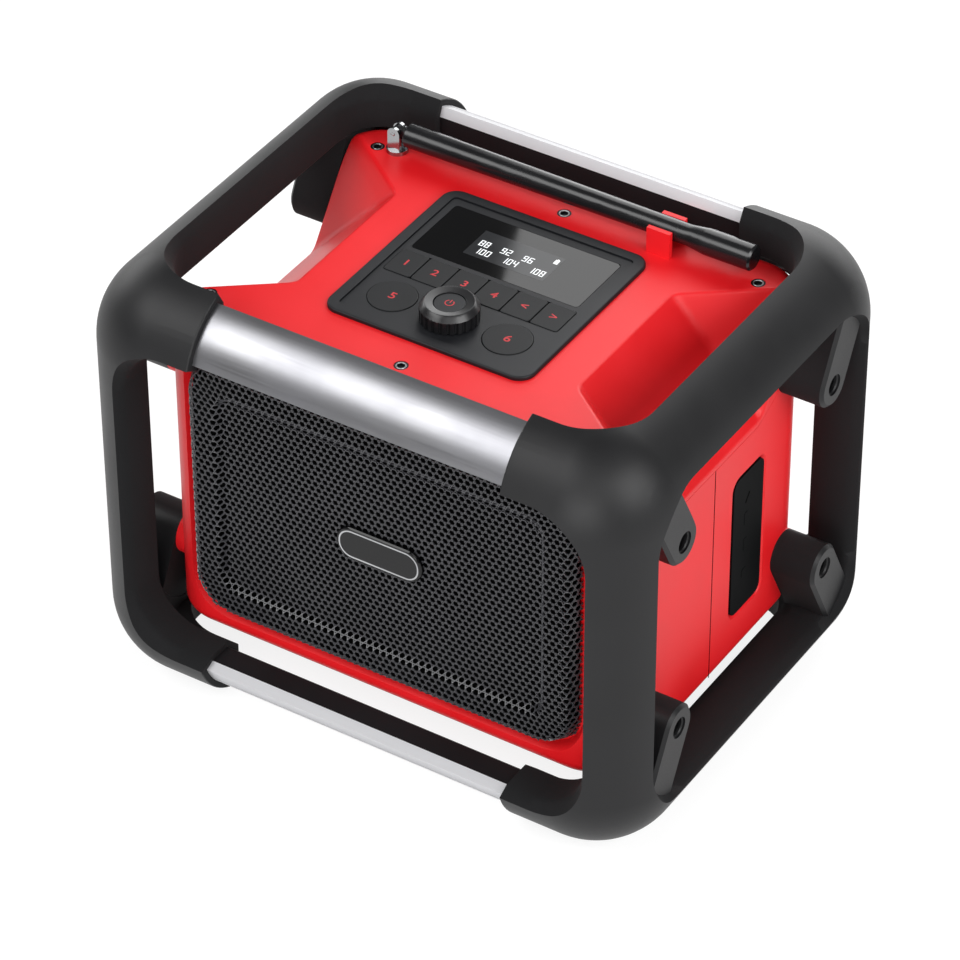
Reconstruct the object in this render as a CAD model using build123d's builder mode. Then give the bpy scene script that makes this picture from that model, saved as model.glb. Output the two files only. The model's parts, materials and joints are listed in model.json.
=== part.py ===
from build123d import *
import os
from math import atan2, cos, degrees, hypot, radians, sin, sqrt

# Jobsite radio. A red housing hangs between two moulded end frames, which four
# metal-faced bars tie into one cage. +X is right, -Y the front and +Z up. The
# origin is on the floor, under the middle of the cage. All sizes in millimetres.

# ---------------------------------------------------------------- dimensions
# Rounded block that the two end frames are carved from
CAGE_WIDTH = 370.0
CAGE_DEPTH = 294.0
CAGE_HEIGHT = 280.0  # floor to the crown of the block
FOOT_TRIM = 5.0  # cut off the block's underside, so that it stands flat
CAGE_ROUND = 52.0  # radius of every outer edge of the block
SLEEVE_SPACING = 200.0  # between the sleeve ends of the two frames
RING_WIDTH = 36.0  # end ring, measured along X
RAIL_DEPTH = 40.0  # rails round the front, rear, top and bottom windows
SIDE_RAIL_DEPTH = 36.0  # rails round the side window
WINDOW_ROUND = 32.0
MOUTH_FLARE = 6.0  # each window widens by this much
MOUTH_DEPTH = 11.0  # over this depth
THROAT_FLARE = 4.0  # the side window also widens towards the housing
THROAT_DEPTH = 9.0
SLEEVE_BEVEL = 10.0  # inner edge of the sleeves
SLEEVE_ROUND = 1.0  # edges of the sleeve ends

# Lugs that carry the housing
LUG_INLAND = 65.0  # axis inside the cage's front and rear planes
LUG_Z = 65.5  # above and below the middle of the cage
LUG_RADIUS = 14.0
LUG_LEAN = 27.3  # degrees, from upright towards the front or rear rail
LUG_REACH = 46.0
LUG_INSET = 7.0  # outer face below the cage's side plane
LUG_CHAMFER = 2.0
LUG_BORE = 6.5
LUG_BORE_DEPTH = 14.0
FRAME_SCREW_RADIUS = 2.5
FRAME_SCREW_HEAD_RADIUS = 5.5
FRAME_SCREW_HEAD = 4.0
FRAME_SCREW_GRIP = 12.0  # length in the housing's boss
FRAME_SCREW_SOCKET = 5.0  # across flats

# Cross bars, in a section measured from the corner of two outer planes
BAR_INSET = 7.85  # that corner lies this far inside the cage's planes
BAR_FACE = 26.0  # from the corner to each end of the arc
BAR_BULGE = 4.0  # rise of the arc over its chord
BAR_DEPTH = 28.5  # to the inner faces of the core
BAR_LIP = 6.0
BAR_BEVEL = 8.0
BAR_SHEET = 2.0
BAR_GRIP = 35.0  # length held in each sleeve
BAR_FIT = 0.1

# Housing
BODY_SIDE_INSET = 35.0  # walls inside the cage's outer planes
BODY_FRONT_INSET = 39.0
BODY_REAR_INSET = 37.0
BODY_TOP_INSET = 28.5
BODY_BOTTOM = 31.0
BODY_CORNER = 30.0
BODY_EDGE = 9.0
WALL = 3.0
FRONT_WALL = 10.5  # rim and speaker baffle together
FRAME_GAP = 2.0  # between the housing and the frames
SCOOP_RUN = 59.0  # from the side face to the inner edge of a scoop
SCOOP_LUG_GAP = 32.0  # from the end of a scoop's floor to the lugs' axis
SCOOP_DROP = 63.0
SCOOP_MARGIN = 13.0  # flat left ahead of a scoop where it meets the side
SCOOP_ROUND = 10.0
SCOOP_RIM = 3.0  # rounding of a scoop's upper edges
SEAM_STRIP = 3.5  # side face left between scoop and seam
SEAM_FLAT_END = 36.0  # from the lugs' axis
SEAM_KNEE_END = 16.0
SEAM_KNEE_RISE = 8.5
SEAM_EDGE = 16.0  # where the seam turns level, from the front face
SEAM_DEPTH = 10.0  # seam below the top at the front and rear
SEAM_GAP = 0.3

# Screw posts under the top cover
POST_SIDE_INSET = 24.0
POST_END_INSET = 23.5
POST_RADIUS = 4.5
POST_LENGTH = 35.0
POST_RIB = 3.0
COVER_BUSH_RADIUS = 4.0
COVER_BUSH_DEPTH = 2.0
COVER_SCREW_RADIUS = 1.5
COVER_SCREW_LENGTH = 14.0
COVER_SOCKET = 4.0  # across flats
PLUG_FIT = 0.2

# Speaker grille, a pressed and perforated pan
GRILLE_SIDE_MARGIN = 26.7
GRILLE_TOP_MARGIN = 30.0
GRILLE_BOTTOM_MARGIN = 20.5
GRILLE_CORNER = 20.0
GRILLE_STAND = 3.5  # border ahead of the housing
GRILLE_BORDER = 15.5
GRILLE_RECESS = 4.5
GRILLE_STEP = 3.0
GRILLE_SHEET = 1.2
GRILLE_PITCH = 13.1  # one hole for every three of the fine mesh
GRILLE_WEB = 3.2  # left between two holes
GRILLE_RIM = 1.0  # plain sheet round the perforated field
SKIRT_DEPTH = 10.0
SKIRT_FLARE = 4.9
LEDGE_WIDTH = 3.6  # sloping red ledge round the grille
GRILLE_FIT = 0.4
BADGE_WIDTH = 56.0
BADGE_HEIGHT = 22.0
BADGE_THICKNESS = 3.0

# Speakers
SPEAKER_HOLE = 45.0
SPEAKER_FLANGE = 51.0
SPEAKER_FLANGE_THICKNESS = 3.0
SPEAKER_DEPTH = 34.0
SPEAKER_WAIST = 26.0
MAGNET_RADIUS = 32.0
MAGNET_THICKNESS = 14.0
CONE_SHEET = 1.5
CONE_DEPTH = 22.0
CONE_THROAT = 12.0
CONE_FIT = 0.3
CAP_RADIUS = 15.0  # dust cap in the middle of the cone
CAP_RISE = 6.0

# Control panel
PANEL_WIDTH = 133.0
PANEL_FRONT_MARGIN = 44.0  # from the edges of the housing
PANEL_REAR_MARGIN = 40.0
PANEL_CORNER = 10.0
PANEL_RIM = 7.0
PANEL_RISE = 2.5
PANEL_LAP = 4.0  # flange resting on the cover
PANEL_DEPTH = 8.0  # tray below the top of the housing
PANEL_FLOOR = 2.5
PANEL_INNER_CORNER = 1.0
PANEL_LEDGE = 2.5
PANEL_FIT = 0.3
FASCIA_RISE = 1.5
FASCIA_THICKNESS = 2.0
BOARD_THICKNESS = 1.6
WINDOW_WIDTH = 108.8
WINDOW_MARGIN = 13.2  # from the panel's rear edge
WINDOW_KEY_GAP = 3.4
WINDOW_THICKNESS = 1.5
WINDOW_CORNER = 2.0
KEY_ROW_WIDTH = 114.0
KEY_PITCH = 19.4
KEY_LENGTH = 22.5
KEY_ROW_INSET = 58.75  # from the panel's front edge
KEY_GAP = 0.3
KEY_RISE = 0.4
KEY_FLANGE = 1.0
KEY_FLANGE_LAP = 0.8
MAT_THICKNESS = 1.0
ROUND_KEY_RADIUS = 14.2
ROUND_KEY_X = 37.4
DIAL_INSET = 28.4  # from the panel's front edge

# Tuning knob with the power button in its middle
KNOB_RADIUS = 17.0
KNOB_TOP_RADIUS = 15.0
KNOB_HEIGHT = 11.0
KNOB_GAP = 0.5
KNOB_FLUTES = 24
KNOB_FLUTE_RADIUS = 1.1
KNOB_FLUTE_HEIGHT = 7.5
KNOB_WEB = 4.5
KNOB_DISH = 1.0
BUTTON_RADIUS = 9.0
BUTTON_GAP = 0.3
BUTTON_TRAVEL = 0.8
BUTTON_STOP = 0.1  # left under the button at full travel
SHAFT_RADIUS = 3.0
SHAFT_FIT = 0.05
SHAFT_HOLE = 4.0  # in the fascia
ENCODER_SIZE = 12.0
ENCODER_FIT = 0.5

# Telescopic antenna, laid down along the rear edge
PIVOT_SIDE_INSET = 36.0
ROD_REAR_INSET = 23.0
PIVOT_HEIGHT = 13.5  # above the housing
BASE_RADIUS = 6.5
BASE_THICKNESS = 2.5
EAR_THICKNESS = 2.2
EAR_RADIUS = 4.0
TONGUE_THICKNESS = 3.8
TONGUE_RADIUS = 3.2
HINGE_FIT = 0.15
PIN_RADIUS = 1.2
PIN_FIT = 0.05
SHEATH_START = 8.0  # from the pivot
SHEATH_RADIUS = 7.25
SHEATH_END_RADIUS = 6.15
ROD_END_INSET = 28.0  # tip of the grip from the right side wall
GRIP_RADIUS = 7.75
GRIP_TAPER = 12.0
GRIP_LENGTH = 30.0
CLIP_OFFSET = 14.5  # from the end of the sheath
CLIP_WIDTH = 15.0
CLIP_HEIGHT = 16.5
CLIP_WALL = 3.0
CLIP_GAP = 0.6

# Sockets behind a rubber flap on the right side
FLAP_OFFSET = 42.8  # from the axis of the rear lugs
FLAP_RISE = 32.0  # lower edge above the housing's underside
FLAP_SEAM_GAP = 25.0  # upper edge below the seam
FLAP_WIDTH = 33.2
FLAP_CORNER = 6.0
FLAP_THICKNESS = 2.6
FLAP_GAP = 0.4
FLAP_BEVEL = 2.0
PORT_LAP = 4.0
PORT_THICKNESS = 9.0
USB_WIDTH = 6.0
USB_HEIGHT = 14.0
USB_DEPTH = 7.0
USB_CORNER = 1.0
JACK_RADIUS = 3.5
SOCKET_PITCH = 26.0

# Battery compartment in the rear
DOOR_WIDTH = 120.0
DOOR_HEIGHT = 78.0
DOOR_RISE = 72.0  # middle of the door above the housing's underside
DOOR_CORNER = 5.0
DOOR_GAP = 0.4
DOOR_THICKNESS = 2.6
BAY_DEPTH = 34.0
BAY_WALL = 2.0
BAY_LAP = 4.0  # flange behind the rear wall
PACK_FIT = 0.8
PULL_WIDTH = 30.0
PULL_HEIGHT = 9.0
PULL_DEPTH = 1.2

# Black service cover under the housing
BASE_COVER_SIDE_INSET = 9.0
BASE_COVER_LENGTH = 116.0
BASE_COVER_THICKNESS = 8.0

# Main board on the rear wall
MAIN_BOARD_WIDTH = 180.0
MAIN_BOARD_HEIGHT = 30.0
MAIN_BOARD_DROP = 58.0  # middle of the board below the housing's top
MAIN_BOARD_STAND = 6.0
STANDOFF_RADIUS = 3.5

# ---------------------------------------------------------- derived positions
SIDES = (1, -1)
CORNERS = [(sy, sz) for sy in SIDES for sz in SIDES]
CAGE_BOTTOM = -FOOT_TRIM
CAGE_MID_Z = (CAGE_HEIGHT + CAGE_BOTTOM) / 2
CAGE_HALF_Z = (CAGE_HEIGHT - CAGE_BOTTOM) / 2
RING_INNER = CAGE_WIDTH / 2 - RING_WIDTH
SIDE_X = CAGE_WIDTH / 2 - BODY_SIDE_INSET
BODY_WIDTH = 2 * SIDE_X
BODY_FRONT = CAGE_DEPTH / 2 - BODY_FRONT_INSET
BODY_REAR = CAGE_DEPTH / 2 - BODY_REAR_INSET
BODY_TOP = CAGE_HEIGHT - BODY_TOP_INSET
BODY_HEIGHT = BODY_TOP - BODY_BOTTOM
BODY_MID_Z = (BODY_BOTTOM + BODY_TOP) / 2
BODY_MID_Y = (BODY_REAR - BODY_FRONT) / 2
BODY_DEPTH = BODY_FRONT + BODY_REAR
LUG_FACE = CAGE_WIDTH / 2 - LUG_INSET
LUG_Y = CAGE_DEPTH / 2 - LUG_INLAND
LUG_HEADS = [(sy * LUG_Y, CAGE_MID_Z + sz * LUG_Z) for sy, sz in CORNERS]
GRILLE_WIDTH = BODY_WIDTH - 2 * GRILLE_SIDE_MARGIN
GRILLE_HEIGHT = BODY_HEIGHT - GRILLE_TOP_MARGIN - GRILLE_BOTTOM_MARGIN
GRILLE_CENTER_Z = BODY_BOTTOM + GRILLE_BOTTOM_MARGIN + GRILLE_HEIGHT / 2
GRILLE_FACE = BODY_FRONT + GRILLE_STAND
GRILLE_SEAT = GRILLE_FACE - SKIRT_DEPTH
SPEAKER_X = GRILLE_WIDTH / 4
SCOOP_LENGTH = 2 * (LUG_Y - SCOOP_LUG_GAP)
SCOOP_FLOOR_Z = BODY_TOP - SCOOP_DROP
SEAM_FLAT = LUG_Y - SEAM_FLAT_END
SEAM_KNEE = LUG_Y - SEAM_KNEE_END
SCOOP_SPREAD = BODY_FRONT - SCOOP_MARGIN - SCOOP_LENGTH / 2
SEAM_END = BODY_FRONT - SEAM_EDGE
PIVOT_X = PIVOT_SIDE_INSET - SIDE_X
PIVOT_Z = BODY_TOP + PIVOT_HEIGHT
ROD_Y = BODY_REAR - ROD_REAR_INSET
ROD_LENGTH = SIDE_X - ROD_END_INSET - PIVOT_X
SHEATH_LENGTH = ROD_LENGTH - SHEATH_START - GRIP_TAPER - GRIP_LENGTH
CLIP_X = PIVOT_X + SHEATH_START + SHEATH_LENGTH - CLIP_OFFSET
FLAP_Y = LUG_Y - FLAP_OFFSET
FLAP_BASE = BODY_BOTTOM + FLAP_RISE
FLAP_HEIGHT = SCOOP_FLOOR_Z - SEAM_STRIP - FLAP_SEAM_GAP - FLAP_BASE
FLAP_Z = FLAP_BASE + FLAP_HEIGHT / 2
DOOR_Z = BODY_BOTTOM + DOOR_RISE
BASE_COVER_WIDTH = BODY_WIDTH - 2 * BASE_COVER_SIDE_INSET
MAIN_BOARD_Z = BODY_TOP - MAIN_BOARD_DROP
POST_X = SIDE_X - POST_SIDE_INSET
POST_Y = BODY_FRONT - POST_END_INSET
POSTS = [(x, sy * POST_Y) for x in (-POST_X, 0, POST_X) for sy in SIDES]
PANEL_FRONT_Y = PANEL_FRONT_MARGIN - BODY_FRONT
PANEL_REAR_Y = BODY_REAR - PANEL_REAR_MARGIN
PANEL_LENGTH = PANEL_REAR_Y - PANEL_FRONT_Y
PANEL_CENTER_Y = (PANEL_REAR_Y + PANEL_FRONT_Y) / 2
KEY_ROW_Y = PANEL_FRONT_Y + KEY_ROW_INSET
DIAL_Y = PANEL_FRONT_Y + DIAL_INSET
WINDOW_REAR_Y = PANEL_REAR_Y - WINDOW_MARGIN
WINDOW_LENGTH = WINDOW_REAR_Y - KEY_ROW_Y - KEY_LENGTH / 2 - WINDOW_KEY_GAP
WINDOW_CENTER_Y = WINDOW_REAR_Y - WINDOW_LENGTH / 2
FASCIA_TOP = BODY_TOP + FASCIA_RISE
FASCIA_UNDER = FASCIA_TOP - FASCIA_THICKNESS
TRAY_FLOOR = BODY_TOP - PANEL_DEPTH + PANEL_FLOOR
BOARD_TOP = TRAY_FLOOR + BOARD_THICKNESS

os.makedirs("parts", exist_ok=True)


def save(name, builder):
    """Label a finished piece and write it under its node's name."""
    builder.part.label = name
    export_step(builder.part, f"parts/{name}.step")


# -------------------------------------------------------------------- cage
def window(plane, half_width, half_height, half_depth):
    """Straight window with rounded corners, whose two mouths flare outwards."""
    with BuildPart() as cutter:
        with BuildSketch(plane):
            RectangleRounded(2 * half_width, 2 * half_height, WINDOW_ROUND)
        extrude(amount=half_depth, both=True)
        for side in SIDES:
            with BuildSketch(plane.offset(side * (half_depth - MOUTH_DEPTH))):
                RectangleRounded(2 * half_width, 2 * half_height, WINDOW_ROUND)
            with BuildSketch(plane.offset(side * half_depth)):
                RectangleRounded(
                    2 * (half_width + MOUTH_FLARE),
                    2 * (half_height + MOUTH_FLARE),
                    WINDOW_ROUND + MOUTH_FLARE,
                )
            loft(ruled=True)
    return cutter.part


with BuildPart() as cage_block:
    with Locations((0, 0, CAGE_MID_Z)):
        Box(CAGE_WIDTH, CAGE_DEPTH, 2 * CAGE_HALF_Z)
    fillet(cage_block.edges(), CAGE_ROUND)
    split(bisect_by=Plane.XY, keep=Keep.TOP)

middle = (0, 0, CAGE_MID_Z)
front_window = window(
    Plane(origin=middle, x_dir=(1, 0, 0), z_dir=(0, -1, 0)),
    RING_INNER,
    CAGE_HALF_Z - RAIL_DEPTH,
    CAGE_DEPTH / 2,
)
top_window = window(
    Plane(origin=middle, x_dir=(1, 0, 0), z_dir=(0, 0, 1)),
    RING_INNER,
    CAGE_DEPTH / 2 - RAIL_DEPTH,
    CAGE_HALF_Z,
)
side_window = window(
    Plane(origin=middle, x_dir=(0, 1, 0), z_dir=(1, 0, 0)),
    CAGE_DEPTH / 2 - SIDE_RAIL_DEPTH,
    CAGE_HALF_Z - SIDE_RAIL_DEPTH,
    CAGE_WIDTH / 2,
)

# Throat of the side window, flaring towards the housing
with BuildPart() as throat:
    for depth, flare in ((0, THROAT_FLARE), (THROAT_DEPTH, 0)):
        with BuildSketch(
            Plane(origin=(RING_INNER + depth, 0, CAGE_MID_Z), x_dir=(0, 1, 0), z_dir=(1, 0, 0))
        ):
            RectangleRounded(
                CAGE_DEPTH - 2 * SIDE_RAIL_DEPTH + 2 * flare,
                2 * (CAGE_HALF_Z - SIDE_RAIL_DEPTH + flare),
                WINDOW_ROUND + flare,
            )
    loft(ruled=True)

# Inside of the cage, which bevels the inner edges of the sleeves
with BuildPart() as cage_inside:
    with BuildSketch(Plane(origin=middle, x_dir=(0, 1, 0), z_dir=(1, 0, 0))) as inside_face:
        Rectangle(
            CAGE_DEPTH - 2 * (RAIL_DEPTH - SLEEVE_BEVEL),
            2 * (CAGE_HALF_Z - RAIL_DEPTH + SLEEVE_BEVEL),
        )
        chamfer(inside_face.vertices(), SLEEVE_BEVEL)
    extrude(amount=RING_INNER, both=True)

# Room for the housing between the sleeves
with BuildPart() as body_room:
    with Locations((0, BODY_MID_Y, BODY_MID_Z)):
        Box(BODY_WIDTH + 2 * FRAME_GAP, BODY_DEPTH + 2 * FRAME_GAP, BODY_HEIGHT + 2 * FRAME_GAP)
    fillet(body_room.edges().filter_by(Axis.Z), BODY_CORNER + FRAME_GAP)
    fillet(body_room.edges().filter_by(Axis.Z, reverse=True), BODY_EDGE + FRAME_GAP)

with BuildPart() as lugs:
    for sy, sz in CORNERS:
        with BuildSketch(Plane.YZ.offset(SIDE_X)):
            head_y = sy * LUG_Y
            head_z = CAGE_MID_Z + sz * LUG_Z
            lean = atan2(sz * cos(radians(LUG_LEAN)), sy * sin(radians(LUG_LEAN)))
            with Locations((head_y + LUG_REACH / 2 * cos(lean), head_z + LUG_REACH / 2 * sin(lean))):
                SlotCenterToCenter(LUG_REACH, 2 * LUG_RADIUS, rotation=degrees(lean))
        extrude(amount=LUG_FACE - SIDE_X)
    chamfer(lugs.edges().group_by(Axis.X)[-1], LUG_CHAMFER)
    add(cage_block.part, mode=Mode.INTERSECT)


def bar_plane(sy, sz):
    """Plane across a bar, from the corner of its outer planes inwards."""
    corner_y = sy * (CAGE_DEPTH / 2 - BAR_INSET)
    corner_z = CAGE_MID_Z + sz * (CAGE_HALF_Z - BAR_INSET)
    return Plane(origin=(0, corner_y, corner_z), x_dir=(0, -sy, 0), z_dir=(sy * sz, 0, 0))


def bar_outline():
    """Closed section of a bar: curved face, two lips and a bevelled back."""
    bulge = BAR_FACE / 2 - BAR_BULGE / sqrt(2)
    lip = (BAR_DEPTH, BAR_LIP)
    with BuildSketch() as section:
        with BuildLine():
            ThreePointArc((BAR_FACE, 0), (bulge, bulge), (0, BAR_FACE))
            Polyline(
                (0, BAR_FACE),
                (BAR_LIP, BAR_DEPTH),
                (BAR_DEPTH - BAR_BEVEL, BAR_DEPTH),
                (BAR_DEPTH, BAR_DEPTH - BAR_BEVEL),
                lip,
                (BAR_FACE, 0),
            )
        make_face()
    return section.sketch


def facing_outline():
    """Section of a bar's metal facing: the arc and lips of the bar, one sheet thick."""
    bulge = BAR_FACE / 2 - BAR_BULGE / sqrt(2)
    with BuildSketch() as section:
        with BuildLine() as skin:
            Line((BAR_DEPTH, BAR_LIP), (BAR_FACE, 0))
            ThreePointArc((BAR_FACE, 0), (bulge, bulge), (0, BAR_FACE))
            Line((0, BAR_FACE), (BAR_LIP, BAR_DEPTH))
            offset(amount=BAR_SHEET, side=Side.RIGHT)
        make_face()
    return section.sketch


BAR_NAMES = {
    (-1, 1): "front_top",
    (1, 1): "rear_top",
    (-1, -1): "front_bottom",
    (1, -1): "rear_bottom",
}
BAR_HALF = SLEEVE_SPACING / 2 + BAR_GRIP

with BuildPart() as right_end_frame:
    add(cage_block.part)
    for hollow in (front_window, top_window, side_window, throat.part, cage_inside.part, body_room.part):
        add(hollow, mode=Mode.SUBTRACT)
    split(bisect_by=Plane.YZ.offset(SLEEVE_SPACING / 2), keep=Keep.TOP)
    fillet(right_end_frame.edges().group_by(Axis.X)[0], SLEEVE_ROUND)
    add(lugs.part)
    for sy, sz in BAR_NAMES:
        with BuildSketch(bar_plane(sy, sz)):
            add(bar_outline())
            offset(amount=BAR_FIT)
        extrude(amount=BAR_HALF, both=True, mode=Mode.SUBTRACT)
    for head_y, head_z in LUG_HEADS:
        with Locations(Plane(origin=(LUG_FACE, head_y, head_z), z_dir=(1, 0, 0))):
            CounterBoreHole(
                radius=FRAME_SCREW_RADIUS,
                counter_bore_radius=LUG_BORE,
                counter_bore_depth=LUG_BORE_DEPTH,
                depth=LUG_FACE - SIDE_X,
            )
save("right_end_frame", right_end_frame)

with BuildPart() as left_end_frame:
    mirror(right_end_frame.part, about=Plane.YZ)
save("left_end_frame", left_end_frame)

for (sy, sz), place in BAR_NAMES.items():
    with BuildPart() as bar_facing:
        with BuildSketch(bar_plane(sy, sz)):
            add(facing_outline())
        extrude(amount=BAR_HALF, both=True)
    save(f"{place}_bar_facing", bar_facing)
    with BuildPart() as bar_core:
        with BuildSketch(bar_plane(sy, sz)):
            add(bar_outline())
            add(facing_outline(), mode=Mode.SUBTRACT)
        extrude(amount=BAR_HALF, both=True)
    save(f"{place}_bar_core", bar_core)

with BuildPart() as frame_screws:
    for sx in SIDES:
        for head_y, head_z in LUG_HEADS:
            seat_x = LUG_FACE - LUG_BORE_DEPTH
            with BuildSketch(Plane(origin=(sx * seat_x, head_y, head_z), z_dir=(sx, 0, 0))):
                Circle(FRAME_SCREW_HEAD_RADIUS)
                RegularPolygon(FRAME_SCREW_SOCKET / 2, 6, major_radius=False, mode=Mode.SUBTRACT)
            extrude(amount=FRAME_SCREW_HEAD)
            with BuildSketch(Plane(origin=(sx * seat_x, head_y, head_z), z_dir=(-sx, 0, 0))):
                Circle(FRAME_SCREW_RADIUS)
            extrude(amount=seat_x - SIDE_X + FRAME_SCREW_GRIP)
            with BuildSketch(Plane(origin=(sx * seat_x, head_y, head_z), z_dir=(sx, 0, 0))):
                Circle(FRAME_SCREW_HEAD_RADIUS)
            extrude(amount=FRAME_SCREW_HEAD / 2)
save("frame_screws", frame_screws)


# ----------------------------------------------------------------- housing
def scoop(side, skin):
    """Hand scoop in a top corner of the housing, its planes moved out by a skin."""
    slope = hypot(SCOOP_RUN, SCOOP_DROP)
    inner_x = SIDE_X - SCOOP_RUN - skin * slope / SCOOP_DROP
    half_length = SCOOP_LENGTH / 2 + skin * hypot(SCOOP_SPREAD, SCOOP_DROP) / SCOOP_DROP
    headroom = 2 * WALL
    with BuildPart() as cutter:
        for run in (-1, SCOOP_RUN + SCOOP_ROUND):
            floor_z = BODY_TOP - run * SCOOP_DROP / SCOOP_RUN
            height = BODY_TOP + headroom - floor_z
            top_half = half_length + height * SCOOP_SPREAD / SCOOP_DROP
            with BuildSketch(
                Plane(origin=(side * (inner_x + run), 0, floor_z), x_dir=(0, 1, 0), z_dir=(1, 0, 0))
            ):
                Polygon(
                    (-half_length, 0),
                    (half_length, 0),
                    (top_half, height),
                    (-top_half, height),
                    align=None,
                )
        loft(ruled=True)
        creases = cutter.edges().filter_by(lambda edge: edge.center().Z < BODY_TOP)
        creases = creases.filter_by(lambda edge: abs(edge.tangent_at(0.5).X) > 0.5)
        creases = creases.sort_by(Axis.Z)[:2]
        fillet(creases, SCOOP_ROUND - skin)
    return cutter.part


def rounded_body(inset, front_inset):
    """Rounded block of the housing, shrunk by an inset."""
    depth = BODY_DEPTH - inset - front_inset
    center_y = BODY_MID_Y + (front_inset - inset) / 2
    with BuildPart() as block:
        with Locations((0, center_y, BODY_MID_Z)):
            Box(BODY_WIDTH - 2 * inset, depth, BODY_HEIGHT - 2 * inset)
        fillet(block.edges().filter_by(Axis.Z), BODY_CORNER - inset)
        fillet(block.edges().filter_by(Axis.Z, reverse=True), BODY_EDGE - inset)
    return block.part


with BuildPart() as body_form:
    add(rounded_body(0, 0))
    for head_y, head_z in LUG_HEADS:
        with BuildSketch(Plane(origin=(0, head_y, head_z), x_dir=(0, 1, 0), z_dir=(1, 0, 0))):
            Circle(LUG_RADIUS)
        extrude(amount=SIDE_X, both=True)
    for side in SIDES:
        add(scoop(side, 0), mode=Mode.SUBTRACT)
    rims = body_form.edges().filter_by(lambda edge: edge.center().Z > BODY_TOP - PLUG_FIT)
    rims = rims.filter_by(lambda edge: abs(edge.center().X) < SIDE_X - 2 * BODY_EDGE)
    rims = rims.filter_by(lambda edge: abs(edge.center().Y) < BODY_FRONT - 2 * BODY_EDGE)
    fillet(rims, SCOOP_RIM)

with BuildPart() as cavity:
    add(rounded_body(WALL, FRONT_WALL))
    for side in SIDES:
        add(scoop(side, WALL), mode=Mode.SUBTRACT)


def seam_zone(gap):
    """Everything above the seam between the top cover and the shells."""
    seam_z = SCOOP_FLOOR_Z - SEAM_STRIP + gap
    edge_z = BODY_TOP - SEAM_DEPTH + gap
    beyond = BODY_DEPTH
    half = [(SEAM_FLAT, seam_z), (SEAM_KNEE, seam_z + SEAM_KNEE_RISE), (SEAM_END, edge_z)]
    ends = [(beyond, edge_z), (beyond, BODY_TOP + beyond)]
    right = half + ends
    left = [(-y, z) for y, z in reversed(right)]
    with BuildPart() as zone:
        with BuildSketch(Plane.YZ):
            Polygon(*right, *left, align=None)
        extrude(amount=BODY_WIDTH, both=True)
    return zone.part


above_seam = seam_zone(SEAM_GAP)
with BuildPart() as shell_zone:
    with Locations((0, 0, BODY_MID_Z)):
        Box(2 * BODY_WIDTH, 2 * BODY_DEPTH, 2 * BODY_HEIGHT)
    add(seam_zone(0), mode=Mode.SUBTRACT)

# Posts, ribs and screw bosses inside the shells
with BuildPart() as posts:
    with BuildSketch(Plane.XY.offset(BODY_TOP - WALL)):
        with Locations(*POSTS):
            Circle(POST_RADIUS)
            Circle(COVER_SCREW_RADIUS, mode=Mode.SUBTRACT)
    extrude(amount=-POST_LENGTH)
    add(cavity.part, mode=Mode.INTERSECT)

with BuildPart() as post_ribs:
    for x, y in POSTS:
        wall_y = BODY_REAR - WALL / 2 if y > 0 else FRONT_WALL / 2 - BODY_FRONT
        near_y = y + (POST_RADIUS - POST_RIB / 2) * (1 if y > 0 else -1)
        with BuildSketch(Plane.XY.offset(BODY_TOP - SEAM_DEPTH - WALL)):
            with Locations((x, (near_y + wall_y) / 2)):
                Rectangle(POST_RIB, abs(wall_y - near_y))
        extrude(amount=SEAM_DEPTH - POST_LENGTH)

with BuildPart() as bosses:
    for sx in SIDES:
        for head_y, head_z in LUG_HEADS:
            with BuildSketch(Plane(origin=(sx * (SIDE_X - WALL / 2), head_y, head_z), z_dir=(-sx, 0, 0))):
                Circle(LUG_RADIUS - WALL)
            extrude(amount=FRAME_SCREW_GRIP)

with BuildPart() as screw_bores:
    for sx in SIDES:
        for head_y, head_z in LUG_HEADS:
            with BuildSketch(Plane(origin=(sx * SIDE_X, head_y, head_z), z_dir=(-sx, 0, 0))):
                Circle(FRAME_SCREW_RADIUS)
            extrude(amount=FRAME_SCREW_GRIP)


def grille_outline(grow, corner):
    """Rounded outline of the grille, grown all round."""
    RectangleRounded(GRILLE_WIDTH + 2 * grow, GRILLE_HEIGHT + 2 * grow, corner)


def front_plane(distance):
    """Upright plane facing the front, this far ahead of the middle."""
    return Plane(origin=(0, -distance, GRILLE_CENTER_Z), x_dir=(1, 0, 0), z_dir=(0, -1, 0))


with BuildPart() as front_shell:
    add(body_form.part)
    add(cavity.part, mode=Mode.SUBTRACT)
    add(post_ribs.part)
    add(bosses.part)
    add(shell_zone.part, mode=Mode.INTERSECT)
    add(posts.part)
    add(screw_bores.part, mode=Mode.SUBTRACT)
    split(bisect_by=Plane.XZ, keep=Keep.TOP)
    seat_grow = SKIRT_FLARE + GRILLE_FIT
    with BuildSketch(front_plane(GRILLE_SEAT)):
        grille_outline(seat_grow, GRILLE_CORNER + seat_grow)
    with BuildSketch(front_plane(BODY_FRONT)):
        grille_outline(seat_grow + LEDGE_WIDTH, GRILLE_CORNER + seat_grow + LEDGE_WIDTH)
    loft(ruled=True, mode=Mode.SUBTRACT)
    with BuildSketch(front_plane(BODY_FRONT)):
        with Locations((-SPEAKER_X, 0), (SPEAKER_X, 0)):
            Circle(SPEAKER_HOLE)
    extrude(amount=-FRONT_WALL, mode=Mode.SUBTRACT)
save("front_shell", front_shell)


def flap_outline(grow):
    """Outline of the socket flap on the side wall, grown all round."""
    RectangleRounded(FLAP_WIDTH + 2 * grow, FLAP_HEIGHT + 2 * grow, FLAP_CORNER + grow)


def flap_plane(x):
    """Plane across the side wall, centred on the socket flap."""
    return Plane(origin=(x, FLAP_Y, FLAP_Z), x_dir=(0, 1, 0), z_dir=(1, 0, 0))


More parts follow.
